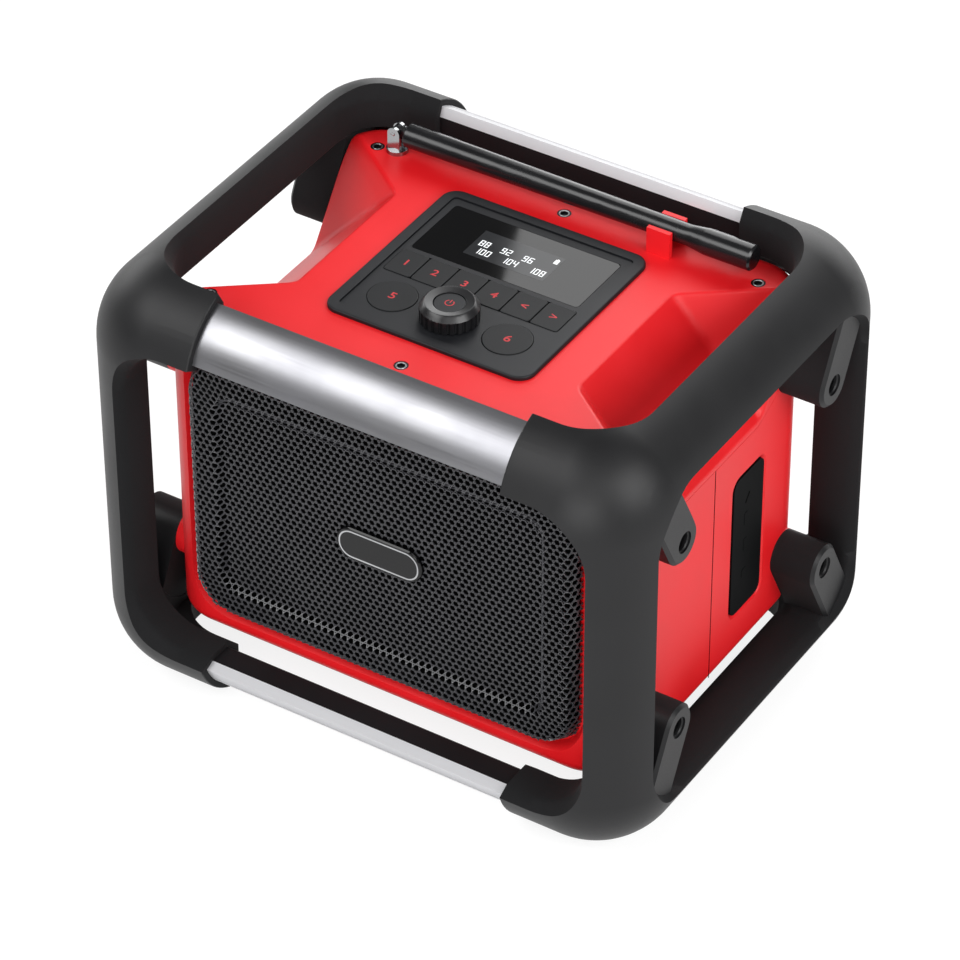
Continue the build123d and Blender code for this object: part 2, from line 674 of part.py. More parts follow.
def door_plane(y):
    """Plane across the rear wall, centred on the battery door."""
    return Plane(origin=(0, y, DOOR_Z), x_dir=(-1, 0, 0), z_dir=(0, 1, 0))


with BuildPart() as rear_shell:
    add(body_form.part)
    add(cavity.part, mode=Mode.SUBTRACT)
    add(post_ribs.part)
    add(bosses.part)
    add(shell_zone.part, mode=Mode.INTERSECT)
    add(posts.part)
    with BuildSketch(Plane(origin=(0, BODY_REAR - WALL, MAIN_BOARD_Z), x_dir=(1, 0, 0), z_dir=(0, -1, 0))):
        with GridLocations(
            MAIN_BOARD_WIDTH - 4 * STANDOFF_RADIUS, MAIN_BOARD_HEIGHT - 4 * STANDOFF_RADIUS, 2, 2
        ):
            Circle(STANDOFF_RADIUS)
    extrude(amount=MAIN_BOARD_STAND)
    add(screw_bores.part, mode=Mode.SUBTRACT)
    split(bisect_by=Plane.XZ, keep=Keep.BOTTOM)
    with BuildSketch(flap_plane(SIDE_X - WALL)):
        flap_outline(FLAP_GAP)
    extrude(amount=WALL, mode=Mode.SUBTRACT)
    with BuildSketch(flap_plane(SIDE_X - FLAP_BEVEL)):
        flap_outline(FLAP_GAP)
    with BuildSketch(flap_plane(SIDE_X)):
        flap_outline(FLAP_GAP + FLAP_BEVEL)
    loft(ruled=True, mode=Mode.SUBTRACT)
    with BuildSketch(door_plane(BODY_REAR - WALL)):
        RectangleRounded(DOOR_WIDTH + 2 * DOOR_GAP, DOOR_HEIGHT + 2 * DOOR_GAP, DOOR_CORNER)
    extrude(amount=WALL, mode=Mode.SUBTRACT)
save("rear_shell", rear_shell)

with BuildPart() as top_cover:
    add(body_form.part)
    add(cavity.part, mode=Mode.SUBTRACT)
    add(above_seam, mode=Mode.INTERSECT)
    with BuildSketch(Plane.XY.offset(BODY_TOP - 2 * WALL)):
        with Locations((0, PANEL_CENTER_Y)):
            RectangleRounded(
                PANEL_WIDTH - 2 * PANEL_LAP, PANEL_LENGTH - 2 * PANEL_LAP, PANEL_CORNER - PANEL_LAP
            )
    extrude(amount=3 * WALL, mode=Mode.SUBTRACT)
    for x, y in POSTS:
        with Locations((x, y, BODY_TOP)):
            CounterBoreHole(
                radius=COVER_SCREW_RADIUS,
                counter_bore_radius=COVER_BUSH_RADIUS + PLUG_FIT,
                counter_bore_depth=COVER_BUSH_DEPTH,
                depth=WALL,
            )
    clip_rod = SHEATH_END_RADIUS + CLIP_GAP
    for side in SIDES:
        with BuildSketch(Plane.XY.offset(BODY_TOP)):
            with Locations((CLIP_X, ROD_Y + side * (clip_rod + CLIP_WALL / 2))):
                Rectangle(CLIP_WIDTH, CLIP_WALL)
        extrude(amount=CLIP_HEIGHT)
save("top_cover", top_cover)

with BuildPart() as cover_screws:
    for x, y in POSTS:
        with BuildSketch(Plane.XY.offset(BODY_TOP - COVER_BUSH_DEPTH)):
            with Locations((x, y)):
                Circle(COVER_BUSH_RADIUS)
                RegularPolygon(COVER_SOCKET / 2, 6, major_radius=False, mode=Mode.SUBTRACT)
        extrude(amount=COVER_BUSH_DEPTH - PLUG_FIT)
        with BuildSketch(Plane.XY.offset(BODY_TOP - COVER_BUSH_DEPTH)):
            with Locations((x, y)):
                Circle(COVER_BUSH_RADIUS)
        extrude(amount=COVER_BUSH_DEPTH / 4)
        with BuildSketch(Plane.XY.offset(BODY_TOP - COVER_BUSH_DEPTH)):
            with Locations((x, y)):
                Circle(COVER_SCREW_RADIUS)
        extrude(amount=-COVER_SCREW_LENGTH)
save("cover_screws", cover_screws)

with BuildPart() as base_cover:
    with BuildSketch(Plane.XY.offset(BODY_BOTTOM)):
        RectangleRounded(BASE_COVER_WIDTH, BASE_COVER_LENGTH, BODY_EDGE)
    extrude(amount=-BASE_COVER_THICKNESS)
    chamfer(base_cover.faces().sort_by(Axis.Z)[0].edges(), BASE_COVER_THICKNESS / 4)
save("base_cover", base_cover)

# ----------------------------------------------------------------- speakers
def grille_holes(width, height):
    """Centres of the holes that fit in a field, in rows set half a pitch apart."""
    row_pitch = GRILLE_PITCH * sqrt(3) / 2
    columns = int((width - GRILLE_WEB) / GRILLE_PITCH - 1 / 2)
    rows = int((height - GRILLE_WEB) / row_pitch)
    return [
        ((column - (columns - 1) / 2 + (row % 2 - 1 / 2) / 2) * GRILLE_PITCH, (row - (rows - 1) / 2) * row_pitch)
        for row in range(rows)
        for column in range(columns)
    ]


with BuildPart() as grille_hollow:
    with BuildSketch(front_plane(GRILLE_SEAT)):
        grille_outline(SKIRT_FLARE - GRILLE_SHEET, GRILLE_CORNER + SKIRT_FLARE - GRILLE_SHEET)
    with BuildSketch(front_plane(GRILLE_FACE - GRILLE_SHEET)):
        grille_outline(-GRILLE_SHEET, GRILLE_CORNER - GRILLE_SHEET)
    loft(ruled=True)
    field = -GRILLE_BORDER
    with BuildSketch(front_plane(GRILLE_FACE - GRILLE_RECESS - GRILLE_SHEET)):
        grille_outline(field - GRILLE_STEP + GRILLE_SHEET, GRILLE_CORNER / 2)
    with BuildSketch(front_plane(GRILLE_FACE)):
        grille_outline(field + GRILLE_SHEET, GRILLE_CORNER / 2)
    loft(ruled=True, mode=Mode.SUBTRACT)

with BuildPart() as speaker_grille:
    with BuildSketch(front_plane(GRILLE_SEAT)):
        grille_outline(SKIRT_FLARE, GRILLE_CORNER + SKIRT_FLARE)
    with BuildSketch(front_plane(GRILLE_FACE)):
        grille_outline(0, GRILLE_CORNER)
    loft(ruled=True)
    with BuildSketch(front_plane(GRILLE_FACE - GRILLE_RECESS)):
        grille_outline(field - GRILLE_STEP, GRILLE_CORNER / 2)
    with BuildSketch(front_plane(GRILLE_FACE)):
        grille_outline(field, GRILLE_CORNER / 2)
    loft(ruled=True, mode=Mode.SUBTRACT)
    add(grille_hollow.part, mode=Mode.SUBTRACT)
    perforated = -GRILLE_BORDER - GRILLE_STEP - GRILLE_RIM
    with BuildSketch(front_plane(GRILLE_FACE - GRILLE_RECESS)):
        grille_outline(perforated, GRILLE_CORNER / 2)
    extrude(amount=-GRILLE_SHEET, mode=Mode.SUBTRACT)
    with BuildSketch(front_plane(GRILLE_FACE - GRILLE_RECESS)):
        grille_outline(perforated, GRILLE_CORNER / 2)
        with Locations(*grille_holes(GRILLE_WIDTH + 2 * perforated, GRILLE_HEIGHT + 2 * perforated)):
            RegularPolygon(
                (GRILLE_PITCH - GRILLE_WEB) / 2, 6, major_radius=False, rotation=30, mode=Mode.SUBTRACT
            )
    extrude(amount=-GRILLE_SHEET)
save("speaker_grille", speaker_grille)

with BuildPart() as badge_plate:
    with BuildSketch(front_plane(GRILLE_FACE - GRILLE_RECESS)):
        RectangleRounded(BADGE_WIDTH, BADGE_HEIGHT, BADGE_HEIGHT / 2 - 1)
    extrude(amount=BADGE_THICKNESS)
    chamfer(badge_plate.faces().sort_by(Axis.Y)[0].edges(), BADGE_THICKNESS / 4)
save("badge_plate", badge_plate)

BAFFLE_BACK = BODY_FRONT - FRONT_WALL
for name, side in (("left", -1), ("right", 1)):
    axis_plane = Plane(
        origin=(side * SPEAKER_X, -BAFFLE_BACK, GRILLE_CENTER_Z), x_dir=(1, 0, 0), z_dir=(0, 0, 1)
    )
    with BuildPart() as driver:
        with BuildSketch(axis_plane):
            with BuildLine():
                Polyline(
                    (SPEAKER_HOLE - CONE_SHEET, 0),
                    (SPEAKER_FLANGE, 0),
                    (SPEAKER_FLANGE, SPEAKER_FLANGE_THICKNESS),
                    (SPEAKER_HOLE, SPEAKER_FLANGE_THICKNESS),
                    (SPEAKER_WAIST, SPEAKER_DEPTH - MAGNET_THICKNESS),
                    (MAGNET_RADIUS, SPEAKER_DEPTH - MAGNET_THICKNESS),
                    (MAGNET_RADIUS, SPEAKER_DEPTH),
                    (0, SPEAKER_DEPTH),
                    (0, CONE_DEPTH),
                    (CONE_THROAT, CONE_DEPTH),
                    (SPEAKER_HOLE - CONE_SHEET, 0),
                    close=True,
                )
            make_face()
        revolve(axis=Axis((side * SPEAKER_X, -BAFFLE_BACK, GRILLE_CENTER_Z), (0, 1, 0)))
    save(f"{name}_speaker", driver)
    rim = SPEAKER_HOLE - CONE_SHEET - 2 * CONE_FIT
    throat_radius = CONE_THROAT - CONE_FIT
    back = CONE_DEPTH - CONE_FIT
    cap_depth = back * (rim - CONE_SHEET - CAP_RADIUS) / (rim - throat_radius)
    with BuildPart() as cone:
        with BuildSketch(axis_plane):
            with BuildLine():
                Polyline((rim - 2 * CONE_SHEET, 0), (rim, 0), (throat_radius, back), (0, back))
                Line((0, back), (0, cap_depth - CAP_RISE))
                RadiusArc(
                    (0, cap_depth - CAP_RISE),
                    (CAP_RADIUS, cap_depth),
                    (CAP_RADIUS**2 + CAP_RISE**2) / (2 * CAP_RISE),
                )
                Line((CAP_RADIUS, cap_depth), (rim - 2 * CONE_SHEET, 0))
            make_face()
        revolve(axis=Axis((side * SPEAKER_X, -BAFFLE_BACK, GRILLE_CENTER_Z), (0, 1, 0)))
    save(f"{name}_speaker_cone", cone)


# ------------------------------------------------------------ control panel
def panel_outline(inset):
    """Rounded outline of the control panel, shrunk all round."""
    with Locations((0, PANEL_CENTER_Y)):
        RectangleRounded(
            PANEL_WIDTH - 2 * inset, PANEL_LENGTH - 2 * inset, max(PANEL_CORNER - inset, PANEL_INNER_CORNER)
        )


TRAY_INSET = PANEL_LAP + PANEL_FIT
with BuildPart() as control_bezel:
    with BuildSketch(Plane.XY.offset(BODY_TOP)):
        panel_outline(0)
    extrude(amount=PANEL_RISE)
    fillet(control_bezel.edges().group_by(Axis.Z)[-1], PANEL_RISE / 2)
    with BuildSketch(Plane.XY.offset(BODY_TOP - PANEL_DEPTH)):
        panel_outline(TRAY_INSET)
    extrude(amount=PANEL_DEPTH)
    with BuildSketch(Plane.XY.offset(FASCIA_UNDER)):
        panel_outline(PANEL_RIM)
    extrude(amount=PANEL_DEPTH, mode=Mode.SUBTRACT)
    with BuildSketch(Plane.XY.offset(TRAY_FLOOR)):
        panel_outline(PANEL_RIM + PANEL_LEDGE)
    extrude(amount=PANEL_DEPTH, mode=Mode.SUBTRACT)
save("control_bezel", control_bezel)

KEY_EDGES = [-KEY_ROW_WIDTH / 2, *(KEY_PITCH * n for n in range(-2, 3)), KEY_ROW_WIDTH / 2]
ROW_KEYS = [
    (f"key_{n}", (left + right) / 2, right - left)
    for n, (left, right) in enumerate(zip(KEY_EDGES, KEY_EDGES[1:]), start=1)
]
DIAL_KEYS = [("left_round_key", -ROUND_KEY_X), ("right_round_key", ROUND_KEY_X)]

with BuildPart() as control_fascia:
    with BuildSketch(Plane.XY.offset(FASCIA_UNDER)):
        panel_outline(PANEL_RIM + PANEL_FIT)
        with Locations((0, WINDOW_CENTER_Y)):
            RectangleRounded(
                WINDOW_WIDTH + 2 * PANEL_FIT,
                WINDOW_LENGTH + 2 * PANEL_FIT,
                WINDOW_CORNER + PANEL_FIT,
                mode=Mode.SUBTRACT,
            )
        with Locations((0, KEY_ROW_Y)):
            RectangleRounded(KEY_ROW_WIDTH, KEY_LENGTH, WINDOW_CORNER, mode=Mode.SUBTRACT)
        with Locations((-ROUND_KEY_X, DIAL_Y), (ROUND_KEY_X, DIAL_Y)):
            Circle(ROUND_KEY_RADIUS + KEY_GAP, mode=Mode.SUBTRACT)
        with Locations((0, DIAL_Y)):
            Circle(SHAFT_HOLE, mode=Mode.SUBTRACT)
    extrude(amount=FASCIA_THICKNESS)
save("control_fascia", control_fascia)

with BuildPart() as display_window:
    with BuildSketch(Plane.XY.offset(FASCIA_TOP - WINDOW_THICKNESS)):
        with Locations((0, WINDOW_CENTER_Y)):
            RectangleRounded(WINDOW_WIDTH, WINDOW_LENGTH, WINDOW_CORNER)
    extrude(amount=WINDOW_THICKNESS)
save("display_window", display_window)

with BuildPart() as display_module:
    with BuildSketch(Plane.XY.offset(BOARD_TOP)):
        with Locations((0, WINDOW_CENTER_Y)):
            Rectangle(WINDOW_WIDTH - 2 * WINDOW_CORNER, WINDOW_LENGTH - 2 * WINDOW_CORNER)
    extrude(amount=FASCIA_TOP - WINDOW_THICKNESS - BOARD_TOP)
save("display_module", display_module)

with BuildPart() as control_board:
    with BuildSketch(Plane.XY.offset(TRAY_FLOOR)):
        panel_outline(PANEL_RIM + PANEL_LEDGE + PANEL_FIT)
    extrude(amount=BOARD_THICKNESS)
save("control_board", control_board)

KEY_MAT_REAR = WINDOW_CENTER_Y - WINDOW_LENGTH / 2
KEY_MAT_FRONT = DIAL_Y - ROUND_KEY_RADIUS - KEY_GAP
with BuildPart() as key_mat:
    with BuildSketch(Plane.XY.offset(BOARD_TOP)):
        with Locations((0, (KEY_MAT_REAR + KEY_MAT_FRONT) / 2)):
            Rectangle(KEY_ROW_WIDTH - 2 * PANEL_FIT, KEY_MAT_REAR - KEY_MAT_FRONT)
        with Locations((0, DIAL_Y)):
            Rectangle(ENCODER_SIZE + 2 * ENCODER_FIT, ENCODER_SIZE + 2 * ENCODER_FIT, mode=Mode.SUBTRACT)
    extrude(amount=MAT_THICKNESS)
save("key_mat", key_mat)

with BuildPart() as encoder:
    with BuildSketch(Plane.XY.offset(BOARD_TOP)):
        with Locations((0, DIAL_Y)):
            Rectangle(ENCODER_SIZE, ENCODER_SIZE)
    extrude(amount=FASCIA_UNDER - BOARD_TOP)
    with BuildSketch(Plane.XY.offset(FASCIA_UNDER)):
        with Locations((0, DIAL_Y)):
            Circle(SHAFT_RADIUS)
    extrude(amount=FASCIA_THICKNESS + KNOB_GAP + KNOB_WEB)
save("encoder", encoder)

FLANGE_TOP = FASCIA_UNDER - PANEL_FIT / 2
KEY_TOP = FASCIA_TOP + KEY_RISE
for name, center_x, cell in ROW_KEYS:
    with BuildPart() as key:
        with BuildSketch(Plane.XY.offset(FLANGE_TOP)):
            with Locations((center_x, KEY_ROW_Y)):
                RectangleRounded(
                    cell - 2 * KEY_GAP, KEY_LENGTH - 2 * KEY_GAP, WINDOW_CORNER - KEY_GAP
                )
        extrude(amount=KEY_TOP - FLANGE_TOP)
        fillet(key.edges().group_by(Axis.Z)[-1], KEY_RISE)
        with BuildSketch(Plane.XY.offset(FLANGE_TOP)):
            with Locations((center_x, KEY_ROW_Y)):
                Rectangle(cell - 2 * KEY_GAP, KEY_LENGTH + 2 * KEY_FLANGE_LAP)
        extrude(amount=-KEY_FLANGE)
    save(name, key)

for name, center_x in DIAL_KEYS:
    with BuildPart() as key:
        with BuildSketch(Plane.XY.offset(FLANGE_TOP)):
            with Locations((center_x, DIAL_Y)):
                Circle(ROUND_KEY_RADIUS)
        extrude(amount=KEY_TOP - FLANGE_TOP)
        fillet(key.edges().group_by(Axis.Z)[-1], KEY_RISE)
        with BuildSketch(Plane.XY.offset(FLANGE_TOP)):
            with Locations((center_x, DIAL_Y)):
                Circle(ROUND_KEY_RADIUS + KEY_FLANGE_LAP)
        extrude(amount=-KEY_FLANGE)
    save(name, key)

KNOB_BASE = FASCIA_TOP + KNOB_GAP
KNOB_TOP = KNOB_BASE + KNOB_HEIGHT
dial_axis = Axis((0, DIAL_Y, KNOB_BASE), (0, 0, 1))
with BuildPart() as tuning_knob:
    with BuildSketch(Plane(origin=(0, DIAL_Y, KNOB_BASE), x_dir=(1, 0, 0), z_dir=(0, -1, 0))):
        with BuildLine():
            Polyline(
                (SHAFT_RADIUS + SHAFT_FIT, 0),
                (KNOB_RADIUS, 0),
                (KNOB_RADIUS, KNOB_FLUTE_HEIGHT),
                (KNOB_TOP_RADIUS, KNOB_HEIGHT - KNOB_DISH),
            )
            Polyline(
                (KNOB_TOP_RADIUS - KNOB_DISH, KNOB_HEIGHT),
                (BUTTON_RADIUS + BUTTON_GAP, KNOB_HEIGHT - KNOB_DISH),
                (BUTTON_RADIUS + BUTTON_GAP, KNOB_WEB),
                (SHAFT_RADIUS + SHAFT_FIT, KNOB_WEB),
                (SHAFT_RADIUS + SHAFT_FIT, 0),
            )
            Line(
                (KNOB_TOP_RADIUS, KNOB_HEIGHT - KNOB_DISH),
                (KNOB_TOP_RADIUS - KNOB_DISH, KNOB_HEIGHT),
            )
        make_face()
    revolve(axis=dial_axis)
    with BuildSketch(Plane.XY.offset(KNOB_BASE)):
        with Locations((0, DIAL_Y)):
            with PolarLocations(KNOB_RADIUS, KNOB_FLUTES):
                Circle(KNOB_FLUTE_RADIUS)
    extrude(amount=KNOB_FLUTE_HEIGHT, mode=Mode.SUBTRACT)
save("tuning_knob", tuning_knob)

BUTTON_TOP = KNOB_TOP - KNOB_DISH - KEY_RISE
BUTTON_UNDER = KNOB_BASE + KNOB_WEB + BUTTON_TRAVEL + BUTTON_STOP
with BuildPart() as power_button:
    with BuildSketch(Plane.XY.offset(BUTTON_UNDER)):
        with Locations((0, DIAL_Y)):
            Circle(BUTTON_RADIUS)
    extrude(amount=BUTTON_TOP - BUTTON_UNDER)
    fillet(power_button.edges().group_by(Axis.Z)[-1], KEY_RISE)
save("power_button", power_button)

# ------------------------------------------------------------------ antenna
with BuildPart() as antenna_base:
    with BuildSketch(Plane.XY.offset(BODY_TOP)):
        with Locations((PIVOT_X, ROD_Y)):
            Circle(BASE_RADIUS)
    extrude(amount=BASE_THICKNESS)
    ear_y = TONGUE_THICKNESS / 2 + HINGE_FIT
    for side in SIDES:
        start_y = ROD_Y + side * ear_y
        with BuildSketch(Plane(origin=(PIVOT_X, start_y, PIVOT_Z), x_dir=(1, 0, 0), z_dir=(0, side, 0))):
            Circle(EAR_RADIUS)
            with Locations((0, side * (PIVOT_HEIGHT - BASE_THICKNESS) / 2)):
                Rectangle(2 * EAR_RADIUS, PIVOT_HEIGHT - BASE_THICKNESS)
            Circle(PIN_RADIUS, mode=Mode.SUBTRACT)
        extrude(amount=EAR_THICKNESS)
save("antenna_base", antenna_base)

with BuildPart() as antenna_pin:
    pin_half = TONGUE_THICKNESS / 2 + HINGE_FIT + EAR_THICKNESS
    with BuildSketch(Plane(origin=(PIVOT_X, ROD_Y, PIVOT_Z), x_dir=(1, 0, 0), z_dir=(0, -1, 0))):
        Circle(PIN_RADIUS)
    extrude(amount=pin_half, both=True)
save("antenna_pin", antenna_pin)

with BuildPart() as antenna_rod:
    with BuildSketch(Plane(origin=(PIVOT_X, ROD_Y, PIVOT_Z), x_dir=(1, 0, 0), z_dir=(0, -1, 0))):
        Circle(TONGUE_RADIUS)
        with Locations((SHEATH_START / 2, 0)):
            Rectangle(SHEATH_START, 2 * TONGUE_RADIUS)
        Circle(PIN_RADIUS + PIN_FIT, mode=Mode.SUBTRACT)
    extrude(amount=TONGUE_THICKNESS / 2, both=True)
    with BuildSketch(Plane(origin=(PIVOT_X, ROD_Y, PIVOT_Z), x_dir=(1, 0, 0), z_dir=(0, -1, 0))):
        taper_start = SHEATH_START + SHEATH_LENGTH
        grip_start = taper_start + GRIP_TAPER
        tip = grip_start + GRIP_LENGTH
        with BuildLine():
            Polyline(
                (SHEATH_START, 0),
                (SHEATH_START, SHEATH_RADIUS - PIN_RADIUS / 2),
                (SHEATH_START + PIN_RADIUS / 2, SHEATH_RADIUS),
                (taper_start, SHEATH_END_RADIUS),
                (grip_start, GRIP_RADIUS),
                (tip - PIN_RADIUS, GRIP_RADIUS),
                (tip, GRIP_RADIUS - PIN_RADIUS),
                (tip, 0),
                close=True,
            )
        make_face()
    revolve(axis=Axis((PIVOT_X, ROD_Y, PIVOT_Z), (1, 0, 0)))
save("antenna_rod", antenna_rod)

# ------------------------------------------------------------------ sockets
with BuildPart() as port_panel:
    with BuildSketch(flap_plane(SIDE_X - WALL)):
        flap_outline(PORT_LAP)
    extrude(amount=-PORT_THICKNESS)
    with BuildSketch(flap_plane(SIDE_X - WALL)):
        with Locations((0, SOCKET_PITCH), (0, 0)):
            RectangleRounded(USB_WIDTH, USB_HEIGHT, USB_CORNER)
        with Locations((0, -SOCKET_PITCH)):
            Circle(JACK_RADIUS)
    extrude(amount=-USB_DEPTH, mode=Mode.SUBTRACT)
save("port_panel", port_panel)

with BuildPart() as port_cover:
    with BuildSketch(flap_plane(SIDE_X - WALL + PANEL_FIT)):
        flap_outline(0)
    extrude(amount=FLAP_THICKNESS)
save("port_cover", port_cover)

# ------------------------------------------------------------------ battery
with BuildPart() as battery_bay:
    with BuildSketch(door_plane(BODY_REAR - WALL)):
        RectangleRounded(DOOR_WIDTH + 2 * BAY_LAP, DOOR_HEIGHT + 2 * BAY_LAP, DOOR_CORNER)
    extrude(amount=-BAY_DEPTH)
    with BuildSketch(door_plane(BODY_REAR - WALL)):
        RectangleRounded(DOOR_WIDTH - 2 * BAY_WALL, DOOR_HEIGHT - 2 * BAY_WALL, DOOR_CORNER)
    extrude(amount=BAY_WALL - BAY_DEPTH, mode=Mode.SUBTRACT)
save("battery_bay", battery_bay)

with BuildPart() as battery_pack:
    with BuildSketch(door_plane(BODY_REAR - WALL - BAY_DEPTH + BAY_WALL)):
        RectangleRounded(
            DOOR_WIDTH - 2 * BAY_WALL - 2 * PACK_FIT,
            DOOR_HEIGHT - 2 * BAY_WALL - 2 * PACK_FIT,
            DOOR_CORNER - PACK_FIT,
        )
    extrude(amount=BAY_DEPTH - BAY_WALL - PACK_FIT)
save("battery_pack", battery_pack)

with BuildPart() as battery_door:
    with BuildSketch(door_plane(BODY_REAR - DOOR_THICKNESS)):
        RectangleRounded(DOOR_WIDTH, DOOR_HEIGHT, DOOR_CORNER - DOOR_GAP)
    extrude(amount=DOOR_THICKNESS)
    with BuildSketch(door_plane(BODY_REAR)):
        with Locations((0, DOOR_HEIGHT / 2 - PULL_HEIGHT)):
            SlotOverall(PULL_WIDTH, PULL_HEIGHT)
    extrude(amount=-PULL_DEPTH, mode=Mode.SUBTRACT)
save("battery_door", battery_door)

with BuildPart() as main_board:
    board_y = BODY_REAR - WALL - MAIN_BOARD_STAND
    with BuildSketch(Plane(origin=(0, board_y, MAIN_BOARD_Z), x_dir=(1, 0, 0), z_dir=(0, -1, 0))):
        Rectangle(MAIN_BOARD_WIDTH, MAIN_BOARD_HEIGHT)
    extrude(amount=BOARD_THICKNESS)
save("main_board", main_board)
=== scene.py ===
"""Dresses the jobsite radio: a red housing slung between two rubber-skinned end frames.

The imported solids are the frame. Every piece made here sits where they are, in metres:
+X is the radio's right, -Y its front and +Z up, with the origin on the floor.
"""

from __future__ import annotations

import json
import logging
import math
from dataclasses import dataclass, replace
from enum import Enum
from typing import Sequence

import bmesh
import bpy
from mathutils import Euler, Matrix, Vector

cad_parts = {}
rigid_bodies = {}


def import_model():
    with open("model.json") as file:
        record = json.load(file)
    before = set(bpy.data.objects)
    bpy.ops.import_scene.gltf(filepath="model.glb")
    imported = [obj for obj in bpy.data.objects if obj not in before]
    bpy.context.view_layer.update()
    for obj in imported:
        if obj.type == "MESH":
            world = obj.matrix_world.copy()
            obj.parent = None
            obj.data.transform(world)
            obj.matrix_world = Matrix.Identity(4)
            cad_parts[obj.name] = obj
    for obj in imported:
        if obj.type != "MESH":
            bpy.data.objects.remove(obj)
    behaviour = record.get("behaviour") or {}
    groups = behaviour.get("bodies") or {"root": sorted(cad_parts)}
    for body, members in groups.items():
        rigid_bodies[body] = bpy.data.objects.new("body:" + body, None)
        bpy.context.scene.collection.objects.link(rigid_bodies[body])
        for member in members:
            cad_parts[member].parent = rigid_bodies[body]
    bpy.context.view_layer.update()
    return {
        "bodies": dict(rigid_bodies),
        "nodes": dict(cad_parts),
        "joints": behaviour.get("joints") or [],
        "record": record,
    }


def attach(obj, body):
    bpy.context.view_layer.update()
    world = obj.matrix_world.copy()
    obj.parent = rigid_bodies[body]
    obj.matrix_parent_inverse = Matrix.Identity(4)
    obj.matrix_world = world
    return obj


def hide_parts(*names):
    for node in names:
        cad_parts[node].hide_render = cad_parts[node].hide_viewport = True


LOG = logging.getLogger("radio")
FRAME: dict[str, dict] = {}

MM = 0.001
# Middle of the cage, in metres.
CAGE_MIDDLE = Vector((0.0, 0.0, 0.1375))
# Corners of a node, or of a new piece, that lie closer than this are joined.
WELD_MM = 0.002
MERGE_MM = 0.001
# Edges of a node, or of a new piece, that are sharper than this are kept so or
# rounded, in degrees.
NODE_CREASE = 30.0
PIECE_CREASE = 35.0
# Detail of the noise that draws the grain and the colour patches.
GRAIN_DETAIL = 2.0
GRAIN_ROUGHNESS = 0.55
PATCH_DETAIL = 3.0
# Noise at which one colour patch has fully given way to the next.
PATCH_NOISE = (0.35, 0.65)
# Sum of grain and patch noise over which the roughness runs, and its least value.
ROUGH_NOISE = (0.6, 1.4)
LEAST_ROUGHNESS = 0.02
# Place from the cage's middle times normal, in metres, where a face is fully matt.
MATT_FACING = -0.03
# Turns a shape made flat in XY so that it faces the front.
TO_FRONT = Matrix.Rotation(math.radians(90), 4, "X")
# Turns it so that it faces the right, with its length along Z.
TO_RIGHT = Matrix(((0, 0, 1, 0), (1, 0, 0, 0), (0, 1, 0, 0), (0, 0, 0, 1)))


# ------------------------------------------------------------------ node helpers
def linear(code: str) -> tuple[float, float, float, float]:
    """Turns an sRGB hex colour into linear light.

    Args:
        code: Colour such as "#E01B22".

    Returns:
        Linear red, green, blue and an alpha of 1.
    """
    channels = [int(code[n : n + 2], 16) / 255 for n in (1, 3, 5)]
    light = [
        c / 12.92 if c <= 0.04045 else ((c + 0.055) / 1.055) ** 2.4 for c in channels
    ]
    return (*light, 1.0)


def add_node(
    tree: bpy.types.NodeTree,
    kind: str,
    settings: dict[str, object] | None = None,
    **inputs: object,
) -> bpy.types.Node:
    """Adds one node, sets it up and links its inputs.

    Args:
        tree: Node tree that gets the node.
        kind: Blender's name of the node type.
        settings: Attributes of the node, such as its operation.
        **inputs: Socket name, or i0, i1 and so on by place, with a value or a socket.

    Returns:
        The new node.
    """
    node = tree.nodes.new(kind)
    for name, value in (settings or {}).items():
        setattr(node, name, value)
    for name, value in inputs.items():
        by_place = name[0] == "i" and name[1:].isdigit()
        socket = node.inputs[int(name[1:]) if by_place else name.replace("_", " ")]
        if isinstance(value, bpy.types.NodeSocket):
            tree.links.new(value, socket)
        else:
            socket.default_value = value
    return node


